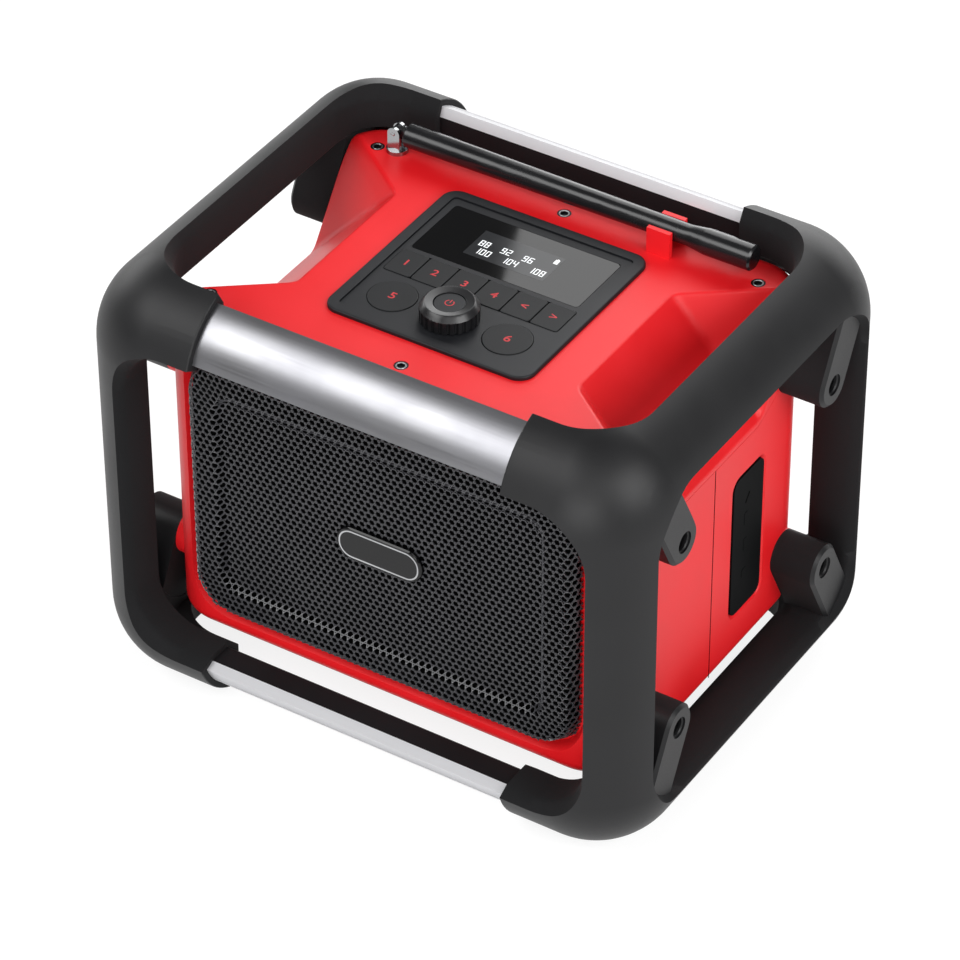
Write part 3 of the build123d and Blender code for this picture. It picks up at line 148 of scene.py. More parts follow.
# ---------------------------------------------------------------------- finishes
@dataclass(frozen=True)
class Finish:
    """A surface with a fine grain and a soft variation of colour.

    Attributes:
        name: Name of the material, in a maker's words.
        colour: Main colour as sRGB hex.
        colour_to: Colour of its slight variation.
        roughness: Mean roughness.
        roughness_spread: Change of roughness over the surface.
        metallic: 1 for bare metal.
        grain_mm: Size of the grain that can be felt.
        grain_height_mm: Height of that grain.
        patch_mm: Size of the colour patches.
        specular: Specular level.
        glow: Strength of its own light, in its own colour.
        stretch: Scale of the grain along X, Y and Z; unequal for brushed metal.
        inner_matt: Added roughness on faces turned towards the middle of the cage.
        rim: Brightness of a metal's reflection at a grazing angle, from 0 to 1.
    """

    name: str
    colour: str
    colour_to: str
    roughness: float
    roughness_spread: float = 0.05
    metallic: float = 0.0
    grain_mm: float = 0.5
    grain_height_mm: float = 0.01
    patch_mm: float = 40.0
    specular: float = 0.5
    glow: float = 0.0
    stretch: tuple[float, float, float] = (1.0, 1.0, 1.0)
    inner_matt: float = 0.0
    rim: float = 1.0

    def material(self) -> bpy.types.Material:
        """Builds the material, or finds the one already built.

        Returns:
            The material.
        """
        made = bpy.data.materials.get(self.name)
        if made:
            return made
        made = bpy.data.materials.new(self.name)
        made.use_nodes = True
        tree = made.node_tree
        tree.nodes.clear()
        place = add_node(tree, "ShaderNodeTexCoord").outputs["Object"]
        mapped = add_node(tree, "ShaderNodeMapping", Vector=place, Scale=self.stretch)
        grain = add_node(
            tree,
            "ShaderNodeTexNoise",
            Vector=mapped.outputs["Vector"],
            Scale=1 / (self.grain_mm * MM),
            Detail=GRAIN_DETAIL,
            Roughness=GRAIN_ROUGHNESS,
        ).outputs["Fac"]
        patch = add_node(
            tree,
            "ShaderNodeTexNoise",
            Vector=place,
            Scale=1 / (self.patch_mm * MM),
            Detail=PATCH_DETAIL,
        ).outputs["Fac"]
        blend = add_node(
            tree,
            "ShaderNodeMapRange",
            i0=patch,
            i1=PATCH_NOISE[0],
            i2=PATCH_NOISE[1],
        )
        colour = add_node(
            tree,
            "ShaderNodeMix",
            {"data_type": "RGBA"},
            i0=blend.outputs["Result"],
            i6=linear(self.colour),
            i7=linear(self.colour_to),
        )
        both = add_node(
            tree, "ShaderNodeMath", {"operation": "ADD"}, i0=grain, i1=patch
        )
        rough = add_node(
            tree,
            "ShaderNodeMapRange",
            i0=both.outputs["Value"],
            i1=ROUGH_NOISE[0],
            i2=ROUGH_NOISE[1],
            i3=max(self.roughness - self.roughness_spread, LEAST_ROUGHNESS),
            i4=min(self.roughness + self.roughness_spread, 1.0),
        ).outputs["Result"]
        if self.inner_matt:
            rough = self._matt_inside(tree, place, rough)
        bump = add_node(
            tree,
            "ShaderNodeBump",
            Strength=1.0,
            Distance=self.grain_height_mm * MM,
            Height=grain,
        )
        shader = add_node(
            tree,
            "ShaderNodeBsdfPrincipled",
            Base_Color=colour.outputs[2],
            Roughness=rough,
            Metallic=self.metallic,
            Normal=bump.outputs["Normal"],
            Specular_IOR_Level=self.specular,
            Specular_Tint=(self.rim, self.rim, self.rim, 1.0),
            Emission_Color=linear(self.colour),
            Emission_Strength=self.glow,
        )
        add_node(tree, "ShaderNodeOutputMaterial", Surface=shader.outputs["BSDF"])
        return made

    def _matt_inside(
        self,
        tree: bpy.types.NodeTree,
        place: bpy.types.NodeSocket,
        rough: bpy.types.NodeSocket,
    ) -> bpy.types.NodeSocket:
        """Roughens the faces that look inwards, which the mould leaves unpolished.

        Args:
            tree: The material's node tree.
            place: Object coordinates.
            rough: Roughness of the outer faces.

        Returns:
            The roughness everywhere.
        """
        outward = add_node(
            tree, "ShaderNodeMapping", Vector=place, Location=-CAGE_MIDDLE
        )
        facing = add_node(
            tree,
            "ShaderNodeVectorMath",
            {"operation": "DOT_PRODUCT"},
            i0=outward.outputs["Vector"],
            i1=add_node(tree, "ShaderNodeNewGeometry").outputs["Normal"],
        )
        added = add_node(
            tree,
            "ShaderNodeMapRange",
            i0=facing.outputs["Value"],
            i1=0.0,
            i2=MATT_FACING,
            i3=0.0,
            i4=self.inner_matt,
        )
        return add_node(
            tree,
            "ShaderNodeMath",
            {"operation": "ADD"},
            i0=rough,
            i1=added.outputs["Result"],
        ).outputs["Value"]


RUBBER_SKIN = Finish(
    # Over-moulded thermoplastic rubber, spark-eroded: wide soft greys, nothing sharp.
    name="overmoulded_rubber",
    colour="#0C0C0E",
    colour_to="#101012",
    roughness=0.48,
    grain_mm=0.7,
    grain_height_mm=0.015,
    specular=0.38,
    inner_matt=0.42,
)
RED_ABS = Finish(
    # Injection-moulded ABS with a fine spark texture: even colour, satin shine.
    name="moulded_red_abs",
    colour="#DD161C",
    colour_to="#E21B22",
    roughness=0.42,
    grain_mm=0.6,
    grain_height_mm=0.006,
    specular=0.34,
)
BLACK_ABS = Finish(
    # The same moulding in black: hidden carriers, bar cores and covers.
    name="moulded_black_abs",
    colour="#111113",
    colour_to="#151517",
    roughness=0.7,
    grain_mm=0.6,
    grain_height_mm=0.008,
    specular=0.25,
)
PANEL_ABS = Finish(
    # Finer spark texture than the housing: charcoal with a bluish soft highlight.
    name="textured_charcoal_abs",
    colour="#18191C",
    colour_to="#1D1E21",
    roughness=0.43,
    grain_mm=0.4,
    grain_height_mm=0.005,
    specular=0.27,
)
KEY_RUBBER = Finish(
    # Silicone key caps with a soft-touch lacquer: darker and drier than the panel.
    name="lacquered_silicone",
    colour="#141517",
    colour_to="#18191B",
    roughness=0.5,
    grain_mm=0.4,
    grain_height_mm=0.004,
    specular=0.25,
)
WINDOW_GLOSS = Finish(
    # Polished acrylic over black print: a mirror-like black.
    name="polished_black_acrylic",
    colour="#050506",
    colour_to="#070708",
    roughness=0.05,
    roughness_spread=0.01,
    grain_mm=3.0,
    grain_height_mm=0.0005,
    specular=0.34,
)
LCD_GLASS = Finish(
    # Unlit cells behind the acrylic: dark grey, as glossy as the window over them.
    name="display_glass",
    colour="#292A2C",
    colour_to="#2E2F31",
    roughness=0.08,
    roughness_spread=0.01,
    grain_mm=2.0,
    grain_height_mm=0.0005,
    specular=0.34,
)
LCD_SEGMENT = Finish(
    # Lit cells: pale and slightly bluish.
    name="display_characters",
    colour="#E9EBEC",
    colour_to="#DFE2E4",
    roughness=0.3,
    glow=0.35,
)
LEGEND_RED = Finish(
    # Pad-printed ink, a little thin on the rubber: dull dark red.
    name="printed_red_ink",
    colour="#C4222A",
    colour_to="#B01C24",
    roughness=0.55,
    patch_mm=3.0,
)
KNOB_SATIN = Finish(
    # Acetal with polished top: black flutes and a clear highlight round the rim.
    name="satin_black_acetal",
    colour="#141416",
    colour_to="#18181A",
    roughness=0.3,
    grain_mm=0.5,
    grain_height_mm=0.004,
)
GRILLE_PAINT = Finish(
    # Punched steel sheet, powder coated: dark grey webs with slightly bright edges.
    name="powder_coated_steel",
    colour="#3A3A3E",
    colour_to="#404044",
    roughness=0.33,
    grain_mm=0.5,
    grain_height_mm=0.01,
    specular=0.9,
)
BAFFLE_AND_SHADE_BLACK = Finish(
    # Flocked baffle board behind the grille: takes nearly all light. The same black
    # lays the joint between the shells, and is painted shade in the flap's slit.
    name="flocked_baffle_and_painted_shade",
    colour="#030303",
    colour_to="#050505",
    roughness=0.95,
    roughness_spread=0.03,
    specular=0.02,
)
CONE_PAPER = Finish(
    # Pressed paper pulp, dyed black: matt with a coarse fibre.
    name="pressed_paper_pulp",
    colour="#141415",
    colour_to="#1B1B1C",
    roughness=0.85,
    grain_mm=1.2,
    grain_height_mm=0.05,
)
BRUSHED_FACING = Finish(
    # Aluminium sheet brushed along the bar and anodised: long fine streaks.
    name="brushed_anodised_aluminium",
    colour="#98989B",
    colour_to="#909094",
    roughness=0.34,
    roughness_spread=0.06,
    metallic=1.0,
    grain_mm=0.7,
    grain_height_mm=0.004,
    stretch=(0.015, 1.0, 1.0),
)
PAINTED_LIGHT_FACING = replace(
    # The same sheet, brushed more lightly and lacquered, with its colour painted
    # lighter than the front bar's: painted light that makes it pale and even, soft
    # shine.
    BRUSHED_FACING,
    name="aluminium_painted_lighter",
    colour="#EFEFF2",
    colour_to="#EAEAED",
    roughness=0.32,
    roughness_spread=0.03,
    grain_height_mm=0.0012,
    metallic=0.55,
    rim=0.0,
)
BLACK_STEEL = Finish(
    # Black-oxide screws: dark, oily satin metal.
    name="black_oxide_steel",
    colour="#3A3A3C",
    colour_to="#303032",
    roughness=0.35,
    metallic=1.0,
    grain_mm=0.4,
    grain_height_mm=0.004,
)
ZINC_STEEL = Finish(
    # Zinc-plated bushes and screws: pale, slightly cloudy metal.
    name="zinc_plated_steel",
    colour="#A9A9AA",
    colour_to="#98989A",
    roughness=0.32,
    metallic=1.0,
    grain_mm=0.4,
    grain_height_mm=0.003,
    patch_mm=4.0,
)
CHROME = Finish(
    # Nickel and chrome on turned brass: mirror bright with faint turning marks.
    name="chromed_brass",
    colour="#A4A5A6",
    colour_to="#98999B",
    roughness=0.16,
    roughness_spread=0.03,
    metallic=1.0,
    grain_mm=0.5,
    grain_height_mm=0.001,
)
ANTENNA_SLEEVE = Finish(
    # Glossy polyamide sleeve: black with one long clear highlight.
    name="glossy_black_polyamide",
    colour="#101012",
    colour_to="#141416",
    roughness=0.24,
    grain_mm=0.6,
    grain_height_mm=0.003,
)
SILVER_TRIM = Finish(
    # Hot-stamped foil rim: thin satin silver.
    name="stamped_silver_foil",
    colour="#C6C7C9",
    colour_to="#B8B9BB",
    roughness=0.3,
    metallic=1.0,
)
FLAP_RUBBER = Finish(
    # Compression-moulded flap: dull near-black.
    name="moulded_flap_rubber",
    colour="#060708",
    colour_to="#090A0B",
    roughness=0.6,
    grain_mm=0.7,
    grain_height_mm=0.01,
    specular=0.06,
)
BOARD_GREEN = Finish(
    # Glass-fibre laminate under green solder resist: glossy, unevenly green.
    name="green_solder_resist",
    colour="#0E4B2A",
    colour_to="#125A33",
    roughness=0.3,
    patch_mm=6.0,
)


# ------------------------------------------------------------------------- stage
@dataclass(frozen=True)
class SoftLamp:
    """A rectangular soft lamp.

    Attributes:
        name: Its name.
        place: Its middle in metres.
        aim: The point that it faces.
        size: Its width and height in metres.
        brightness: Radiance of its surface, where 1 shows white.
        twist: Its turn about its own axis, in degrees.
    """

    name: str
    place: tuple[float, float, float]
    aim: tuple[float, float, float]
    size: tuple[float, float]
    brightness: float
    twist: float = 0.0


# Where most of the lamps point.
AIM = (0.0, 0.0, 0.14)
LAMPS = (
    SoftLamp("key_lamp", (-1.12, -1.50, 1.98), AIM, (1.9, 1.2), 3.7),
    SoftLamp("top_lamp", (1.1, -1.5, 1.9), AIM, (1.7, 1.2), 1.3),
    SoftLamp(
        "rear_card",
        (0.016, 0.813, 0.886),
        (0.403, 0.192, 0.362),
        (0.9, 0.8),
        2.4,
        twist=-17.4,
    ),
    SoftLamp("right_lamp", (2.0, -0.4, 1.4), AIM, (1.4, 1.4), 4.8),
    SoftLamp("left_lamp", (-2.3, 0.7, 0.8), AIM, (1.5, 1.0), 3.0),
    SoftLamp("front_lamp", (0.5, -2.4, 0.7), AIM, (1.7, 1.1), 3.7),
    SoftLamp("rear_low_lamp", (-0.3, 2.4, 0.6), (0.0, 0.0, 0.2), (3.0, 0.9), 2.4),
)


@dataclass
class Studio:
    """Pale floor, broad soft lamps and the camera.

    Attributes:
        target: Point that the camera looks at, in millimetres.
        distance: Distance from it, in millimetres.
        azimuth: Camera's turn from the front towards the right, in degrees.
        elevation: Its height angle, in degrees.
        roll: Its turn about its own axis, in degrees.
        lens: Focal length in millimetres.
        sensor: Width of the sensor in millimetres.
        reach: Nearest and farthest distance that shows, in metres.
        room_light: Strength of the even light from all round.
        lamp_watts: Watts that give a lamp of one square metre a brightness of 1.
        floor_reach: Half the floor's width in metres.
        floor_glow: How bright the floor shows by itself.
        floor_tone: Share of the lamps' light that it adds to that.
        floor_paint: Its colour to the object, as sRGB hex.
    """

    target: tuple[float, float, float] = (-3.241, 0.0, 114.63)
    distance: float = 2756.8
    azimuth: float = 32.419
    elevation: float = 38.257
    roll: float = -0.172
    lens: float = 181.08
    sensor: float = 36.0
    reach: tuple[float, float] = (0.1, 20.0)
    room_light: float = 0.16
    lamp_watts: float = 4.0
    floor_reach: float = 6.0
    floor_glow: float = 0.85
    floor_tone: float = 0.2
    floor_paint: str = "#D8D8D8"

    def camera(self) -> bpy.types.Object:
        """Makes the camera and puts it in use.

        Returns:
            The camera.
        """
        data = bpy.data.cameras.new("camera")
        data.lens = self.lens
        data.sensor_width = self.sensor
        data.sensor_fit = "HORIZONTAL"
        data.clip_start, data.clip_end = self.reach
        made = bpy.data.objects.new("camera", data)
        turn = Euler((math.radians(90 - self.elevation), 0, math.radians(self.azimuth)))
        turned = turn.to_matrix() @ Matrix.Rotation(math.radians(self.roll), 3, "Z")
        place = Vector(self.target) * MM + turned @ Vector((0, 0, self.distance * MM))
        made.matrix_world = Matrix.Translation(place) @ turned.to_4x4()
        bpy.context.scene.collection.objects.link(made)
        bpy.context.scene.camera = made
        return made

    def lamp(self, lamp: SoftLamp) -> bpy.types.Object:
        """Hangs one soft lamp.

        Args:
            lamp: Its place, aim, size and brightness.

        Returns:
            The lamp.
        """
        data = bpy.data.lights.new(lamp.name, "AREA")
        data.shape = "RECTANGLE"
        data.size, data.size_y = lamp.size
        data.energy = self.lamp_watts * lamp.brightness * data.size * data.size_y
        made = bpy.data.objects.new(lamp.name, data)
        aim = Vector(lamp.aim) - Vector(lamp.place)
        turn = aim.to_track_quat("-Z", "Y").to_matrix() @ Matrix.Rotation(
            math.radians(lamp.twist), 3, "Z"
        )
        made.rotation_euler = turn.to_euler()
        made.location = lamp.place
        bpy.context.scene.collection.objects.link(made)
        return made

    def floor(self) -> bpy.types.Object:
        """Lays a pale floor that shows white and keeps the object's shadow.

        Returns:
            The floor.
        """
        sheet = bmesh.new()
        bmesh.ops.create_grid(sheet, x_segments=1, y_segments=1, size=self.floor_reach)
        mesh = bpy.data.meshes.new("floor")
        sheet.to_mesh(mesh)
        sheet.free()
        made = bpy.data.objects.new("floor", mesh)
        bpy.context.scene.collection.objects.link(made)
        made.data.materials.append(self.paint())
        return made

    def paint(self) -> bpy.types.Material:
        """Makes the floor's paint: white to the eye, plain light grey to the lamps.

        Returns:
            The material.
        """
        made = bpy.data.materials.new("floor_paint")
        made.use_nodes = True
        tree = made.node_tree
        tree.nodes.clear()
        path = add_node(tree, "ShaderNodeLightPath")
        seen = add_node(
            tree,
            "ShaderNodeMath",
            {"operation": "MAXIMUM"},
            i0=path.outputs["Is Camera Ray"],
            i1=path.outputs["Is Glossy Ray"],
        )
        seen = add_node(
            tree,
            "ShaderNodeMath",
            {"operation": "MAXIMUM"},
            i0=seen.outputs["Value"],
            i1=path.outputs["Is Transmission Ray"],
        )
        paint = add_node(tree, "ShaderNodeBsdfDiffuse", Color=linear(self.floor_paint))
        glow = add_node(
            tree,
            "ShaderNodeEmission",
            Color=linear("#FFFFFF"),
            Strength=self.floor_glow,
        )
        thin = add_node(
            tree, "ShaderNodeBsdfDiffuse", Color=(*[self.floor_tone] * 3, 1.0)
        )
        white = add_node(
            tree,
            "ShaderNodeAddShader",
            i0=glow.outputs["Emission"],
            i1=thin.outputs["BSDF"],
        )
        mix = add_node(
            tree,
            "ShaderNodeMixShader",
            i0=seen.outputs["Value"],
            i1=paint.outputs["BSDF"],
            i2=white.outputs["Shader"],
        )
        add_node(tree, "ShaderNodeOutputMaterial", Surface=mix.outputs["Shader"])
        return made

    def world(self) -> None:
        """Gives the room an even grey light."""
        room = bpy.data.worlds.new("room")
        room.use_nodes = True
        tree = room.node_tree
        tree.nodes.clear()
        light = add_node(
            tree,
            "ShaderNodeBackground",
            Color=linear("#FFFFFF"),
            Strength=self.room_light,
        )
        add_node(tree, "ShaderNodeOutputWorld", Surface=light.outputs["Background"])
        bpy.context.scene.world = room

    def build(self) -> None:
        """Sets up the whole studio."""
        self.camera()
        self.floor()
        self.world()
        for lamp in LAMPS:
            self.lamp(lamp)
        bpy.context.scene.view_settings.view_transform = "Standard"


# ---------------------------------------------------------------- CAD node looks
def dress(name: str, finish: Finish, round_mm: float = 0.0) -> None:
    """Gives a CAD node its finish and, where asked, rounds its sharp edges.

    Args:
        name: The node's name.
        finish: Its finish.
        round_mm: Width of the rounding, or 0 to leave the edges crisp.
    """
    node = FRAME["nodes"][name]
    materials = node.data.materials
    if not materials:
        materials.append(finish.material())
    for place in range(len(materials)):
        materials[place] = finish.material()
    weld = node.modifiers.new("weld", "WELD")
    weld.merge_threshold = WELD_MM * MM
    node.data.shade_smooth()
    if round_mm:
        bevel = node.modifiers.new("edge_round", "BEVEL")
        bevel.width = round_mm * MM
        bevel.segments = 2
        bevel.limit_method = "ANGLE"
        bevel.angle_limit = math.radians(NODE_CREASE)
        bevel.miter_outer = "MITER_ARC"
    else:
        split = node.modifiers.new("crisp_edges", "EDGE_SPLIT")
        split.split_angle = math.radians(NODE_CREASE)
    normals = node.modifiers.new("even_normals", "WEIGHTED_NORMAL")
    normals.mode = "FACE_AREA"
    normals.keep_sharp = True
    LOG.info("dressed %s in %s", name, finish.name)


# ------------------------------------------------------------------- piece tools
def link_piece(
    mesh: bpy.types.Mesh, name: str, finish: Finish, body: str
) -> bpy.types.Object:
    """Makes a mesh into a piece of the radio.

    Args:
        mesh: The finished mesh, in place.
        name: Name of the piece.
        finish: Its finish.
        body: The body that it moves with.

    Returns:
        The new piece.
    """
    made = bpy.data.objects.new(name, mesh)
    bpy.context.scene.collection.objects.link(made)
    mesh.materials.clear()
    mesh.materials.append(finish.material())
    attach(made, body)
    LOG.info("made %s: %d faces in %s", name, len(mesh.polygons), finish.name)
    return made


def settle(
    shape: bmesh.types.BMesh,
    name: str,
    finish: Finish,
    body: str,
    smooth: bool = False,
) -> bpy.types.Object:
    """Turns a bmesh into a piece with outward faces.

    Args:
        shape: The shape, which is freed.
        name: Name of the piece.
        finish: Its finish.
        body: The body that it moves with.
        smooth: True to shade it smooth but for its sharp edges.

    Returns:
        The new piece.
    """
    bmesh.ops.remove_doubles(shape, verts=shape.verts, dist=MERGE_MM * MM)
    bmesh.ops.recalc_face_normals(shape, faces=shape.faces)
    mesh = bpy.data.meshes.new(name)
    shape.to_mesh(mesh)
    shape.free()
    if smooth:
        mesh.shade_smooth()
        mesh.set_sharp_from_angle(angle=math.radians(PIECE_CREASE))
    return link_piece(mesh, name, finish, body)


def slab(
    size: tuple[float, float, float],
    corner: float,
    place: tuple[float, float, float],
    edge: float = 0.0,
    steps: int = 6,
) -> bmesh.types.BMesh:
    """Makes a flat plate with rounded corners, lying in XY.

    Args:
        size: Width, length and thickness in millimetres.
        corner: Radius of its four corners.
        place: Middle of its underside.
        edge: Bevel of its upper edge.
        steps: Segments of a corner.

    Returns:
        The plate as a bmesh.
    """
    shape = bmesh.new()
    bmesh.ops.create_grid(shape, x_segments=1, y_segments=1, size=0.5)
    bmesh.ops.scale(shape, vec=(size[0] * MM, size[1] * MM, 1.0), verts=shape.verts)
    if corner:
        bmesh.ops.bevel(
            shape,
            geom=shape.verts[:],
            offset=corner * MM,
            offset_type="OFFSET",
            affect="VERTICES",
            segments=steps,
            profile=0.5,
            material=-1,
        )
    top = shape.faces[:]
    raised = bmesh.ops.extrude_face_region(shape, geom=top, use_keep_orig=True)
    moved = [item for item in raised["geom"] if isinstance(item, bmesh.types.BMVert)]
    bmesh.ops.translate(shape, vec=(0, 0, size[2] * MM), verts=moved)
    if edge:
        lid = [item for item in raised["geom"] if isinstance(item, bmesh.types.BMFace)]
        rim = {side for face in lid for side in face.edges}
        bmesh.ops.bevel(
            shape,
            geom=list(rim),
            offset=edge * MM,
            offset_type="OFFSET",
            affect="EDGES",
            segments=2,
            profile=0.5,
            material=-1,
        )
    bmesh.ops.translate(shape, vec=Vector(place) * MM, verts=shape.verts)
    return shape


def ring(
    profile: Sequence[tuple[float, float]],
    place: tuple[float, float, float],
    steps: int,
    turn: float = 360.0,
) -> bmesh.types.BMesh:
    """Spins a closed profile about an upright axis.

    Args:
        profile: Radius and height of its points, in millimetres.
        place: Foot of the axis.
        steps: Segments of a full turn.
        turn: Angle of the spin in degrees.

    Returns:
        The spun shape as a bmesh.
    """
    shape = bmesh.new()
    points = [
        shape.verts.new((radius * MM, 0, height * MM)) for radius, height in profile
    ]
    line = [shape.edges.new(pair) for pair in zip(points, points[1:] + points[:1])]
    full = turn == 360.0
    if not full:
        line.append(shape.faces.new(points))
    bmesh.ops.spin(
        shape,
        geom=points + line,
        cent=(0, 0, 0),
        axis=(0, 0, 1),
        angle=math.radians(turn),
        steps=max(3, round(steps * turn / 360)),
        use_merge=full,
    )
    bmesh.ops.translate(shape, vec=Vector(place) * MM, verts=shape.verts)
    return shape


def absorb(shape: bmesh.types.BMesh, other: bmesh.types.BMesh) -> None:
    """Adds one bmesh's geometry to another and frees it.

    Args:
        shape: The bmesh that grows.
        other: The bmesh that is used up.
    """
    mesh = bpy.data.meshes.new("passing")
    other.to_mesh(mesh)
    other.free()
    shape.from_mesh(mesh)
    bpy.data.meshes.remove(mesh)


@dataclass(frozen=True)
class Legend:
    """One line of raised print.

    Attributes:
        name: Name of its piece.
        words: What it says.
        place: Middle of its foot, in millimetres.
        height: Size of the type in millimetres.
        body: The body that it moves with.
        thickness: Height of the ink, half above and half below the place.
        swell: Spread of the ink, as a share of the height.
        widen: Stretch of the letters along X.
    """

    name: str
    words: str
    place: tuple[float, float, float]
    height: float
    body: str
    thickness: float = 0.04
    swell: float = 0.012
    widen: float = 1.15

    def build(self) -> bpy.types.Object:
        """Sets the type, makes it a mesh and puts it in its place.

        Returns:
            The print as one piece.
        """
        curve = bpy.data.curves.new(self.name, "FONT")
        curve.body = self.words
        curve.size = self.height * MM
        curve.extrude = self.thickness / 2 * MM
        curve.offset = self.swell * self.height * MM
        curve.resolution_u = 3
        curve.align_x = "CENTER"
        curve.align_y = "CENTER"
        setter = bpy.data.objects.new(self.name + "_setting", curve)
        mesh = bpy.data.meshes.new_from_object(setter)
        bpy.data.objects.remove(setter)
        bpy.data.curves.remove(curve)
        mesh.transform(Matrix.Diagonal((self.widen, 1.0, 1.0, 1.0)))
        mesh.transform(Matrix.Translation(Vector(self.place) * MM))
        return link_piece(mesh, self.name, LEGEND_RED, self.body)


class Stroke(Enum):
    """A stroke of a figure: its middle in half widths and half heights, and its lie."""

    TOP = (0.0, 1.0, "level")
    MIDDLE = (0.0, 0.0, "level")
    FOOT = (0.0, -1.0, "level")
    UPPER_LEFT = (-1.0, 0.5, "upright")
    UPPER_RIGHT = (1.0, 0.5, "upright")
    LOWER_LEFT = (-1.0, -0.5, "upright")
    LOWER_RIGHT = (1.0, -0.5, "upright")


# The strokes that stay dark in each figure.
UNLIT = {
    "0": (Stroke.MIDDLE,),
    "1": (Stroke.TOP, Stroke.MIDDLE, Stroke.FOOT, Stroke.UPPER_LEFT, Stroke.LOWER_LEFT),
    "2": (Stroke.UPPER_LEFT, Stroke.LOWER_RIGHT),
    "4": (Stroke.TOP, Stroke.FOOT, Stroke.LOWER_LEFT),
    "6": (Stroke.UPPER_RIGHT,),
    "8": (),
    "9": (Stroke.LOWER_LEFT,),
}


@dataclass(frozen=True)
class Numbers:
    """One line of squared display figures.

    Attributes:
        name: Name of its piece.
        figures: The figures and spaces.
        start: Middle of the first place's left edge, in millimetres.
        pitch: Distance between neighbouring places.
        half_width: Half of a figure's width between its strokes' middles.
        half_height: Half of its height, measured so.
        line: Width of a stroke.
        thickness: Thickness of a stroke.
    """

    name: str
    figures: str
    start: tuple[float, float, float]
    pitch: float = 3.55
    half_width: float = 1.05
    half_height: float = 2.35
    line: float = 0.62
    thickness: float = 0.04

    def build(self) -> bpy.types.Object:
        """Lays the lit strokes of every figure.

        Returns:
            The line of figures as one piece.
        """
        lit = bmesh.new()
        for number, figure in enumerate(self.figures):
            if figure == " ":
                continue
            middle = self.start[0] + (number + 0.5) * self.pitch
            for stroke in Stroke:
                if stroke in UNLIT[figure]:
                    continue
                across, up, lie = stroke.value
                place = (
                    middle + across * self.half_width,
                    self.start[1] + up * self.half_height,
                    self.start[2],
                )
                size = (2 * self.half_width + self.line, self.line, self.thickness)
                if lie == "upright":
                    reach = self.half_height + self.line
                    size = (self.line, reach, self.thickness)
                absorb(lit, slab(size, 0.0, place))
        return settle(lit, self.name, LCD_SEGMENT, "radio")


# -------------------------------------------------------------------- the radio
@dataclass
class Cage:
    """Two rubber-skinned end frames and the four bars between them.

    Attributes:
        skin_round: Rounding of the frames' remaining sharp edges, in millimetres.
        core_round: Rounding of the bars' cores.
        bolt_round: Rounding of the bolts.
        collar: Radius and height of the points of a collar's section.
        collar_steps: Segments of its circle.
        collar_x: Distance of the collars' inner ends from the middle.
        bolt_y: Distance of the bolts from the middle, front to rear.
        bolt_z: Heights of the bolts.
    """

    skin_round: float = 0.8
    core_round: float = 0.3
    bolt_round: float = 0.2
    collar: tuple[tuple[float, float], ...] = (
        (5.6, 0.0),
        (6.46, 0.0),
        (6.46, 2.2),
        (6.2, 2.2),
        (5.6, 1.5),
    )
    collar_steps: int = 32
    collar_x: float = 174.6
    bolt_y: float = 82.0
    bolt_z: tuple[float, float] = (72.0, 203.0)

    def build(self) -> None:
        """Dresses the frames, bars and bolts."""
        for side in ("right", "left"):
            dress(f"{side}_end_frame", RUBBER_SKIN, self.skin_round)
        for bar in ("front_top", "rear_top", "front_bottom", "rear_bottom"):
            # The front top bar keeps the brushed sheet; the other three take the copy
            # whose colour is painted lighter: painted light.
            sheet = BRUSHED_FACING if bar == "front_top" else PAINTED_LIGHT_FACING
            dress(f"{bar}_bar_facing", sheet)
            dress(f"{bar}_bar_core", BLACK_ABS, self.core_round)
        dress("frame_screws", BLACK_STEEL, self.bolt_round)
        self.bore_collars()

    def bore_collars(self) -> None:
        """Puts a moulded step just inside the mouth of each bolt bore."""
        collars = bmesh.new()
        for side in (-1, 1):
            turn = Matrix.Rotation(math.radians(90 * side), 4, "Y")
            for along in (-self.bolt_y, self.bolt_y):
                for up in self.bolt_z:
                    collar = ring(self.collar, (0, 0, 0), self.collar_steps)
                    bmesh.ops.transform(collar, matrix=turn, verts=collar.verts)
                    place = Vector((side * self.collar_x, along, up)) * MM
                    bmesh.ops.translate(collar, vec=place, verts=collar.verts)
                    absorb(collars, collar)
        settle(collars, "bolt_collars", RUBBER_SKIN, "radio", True)


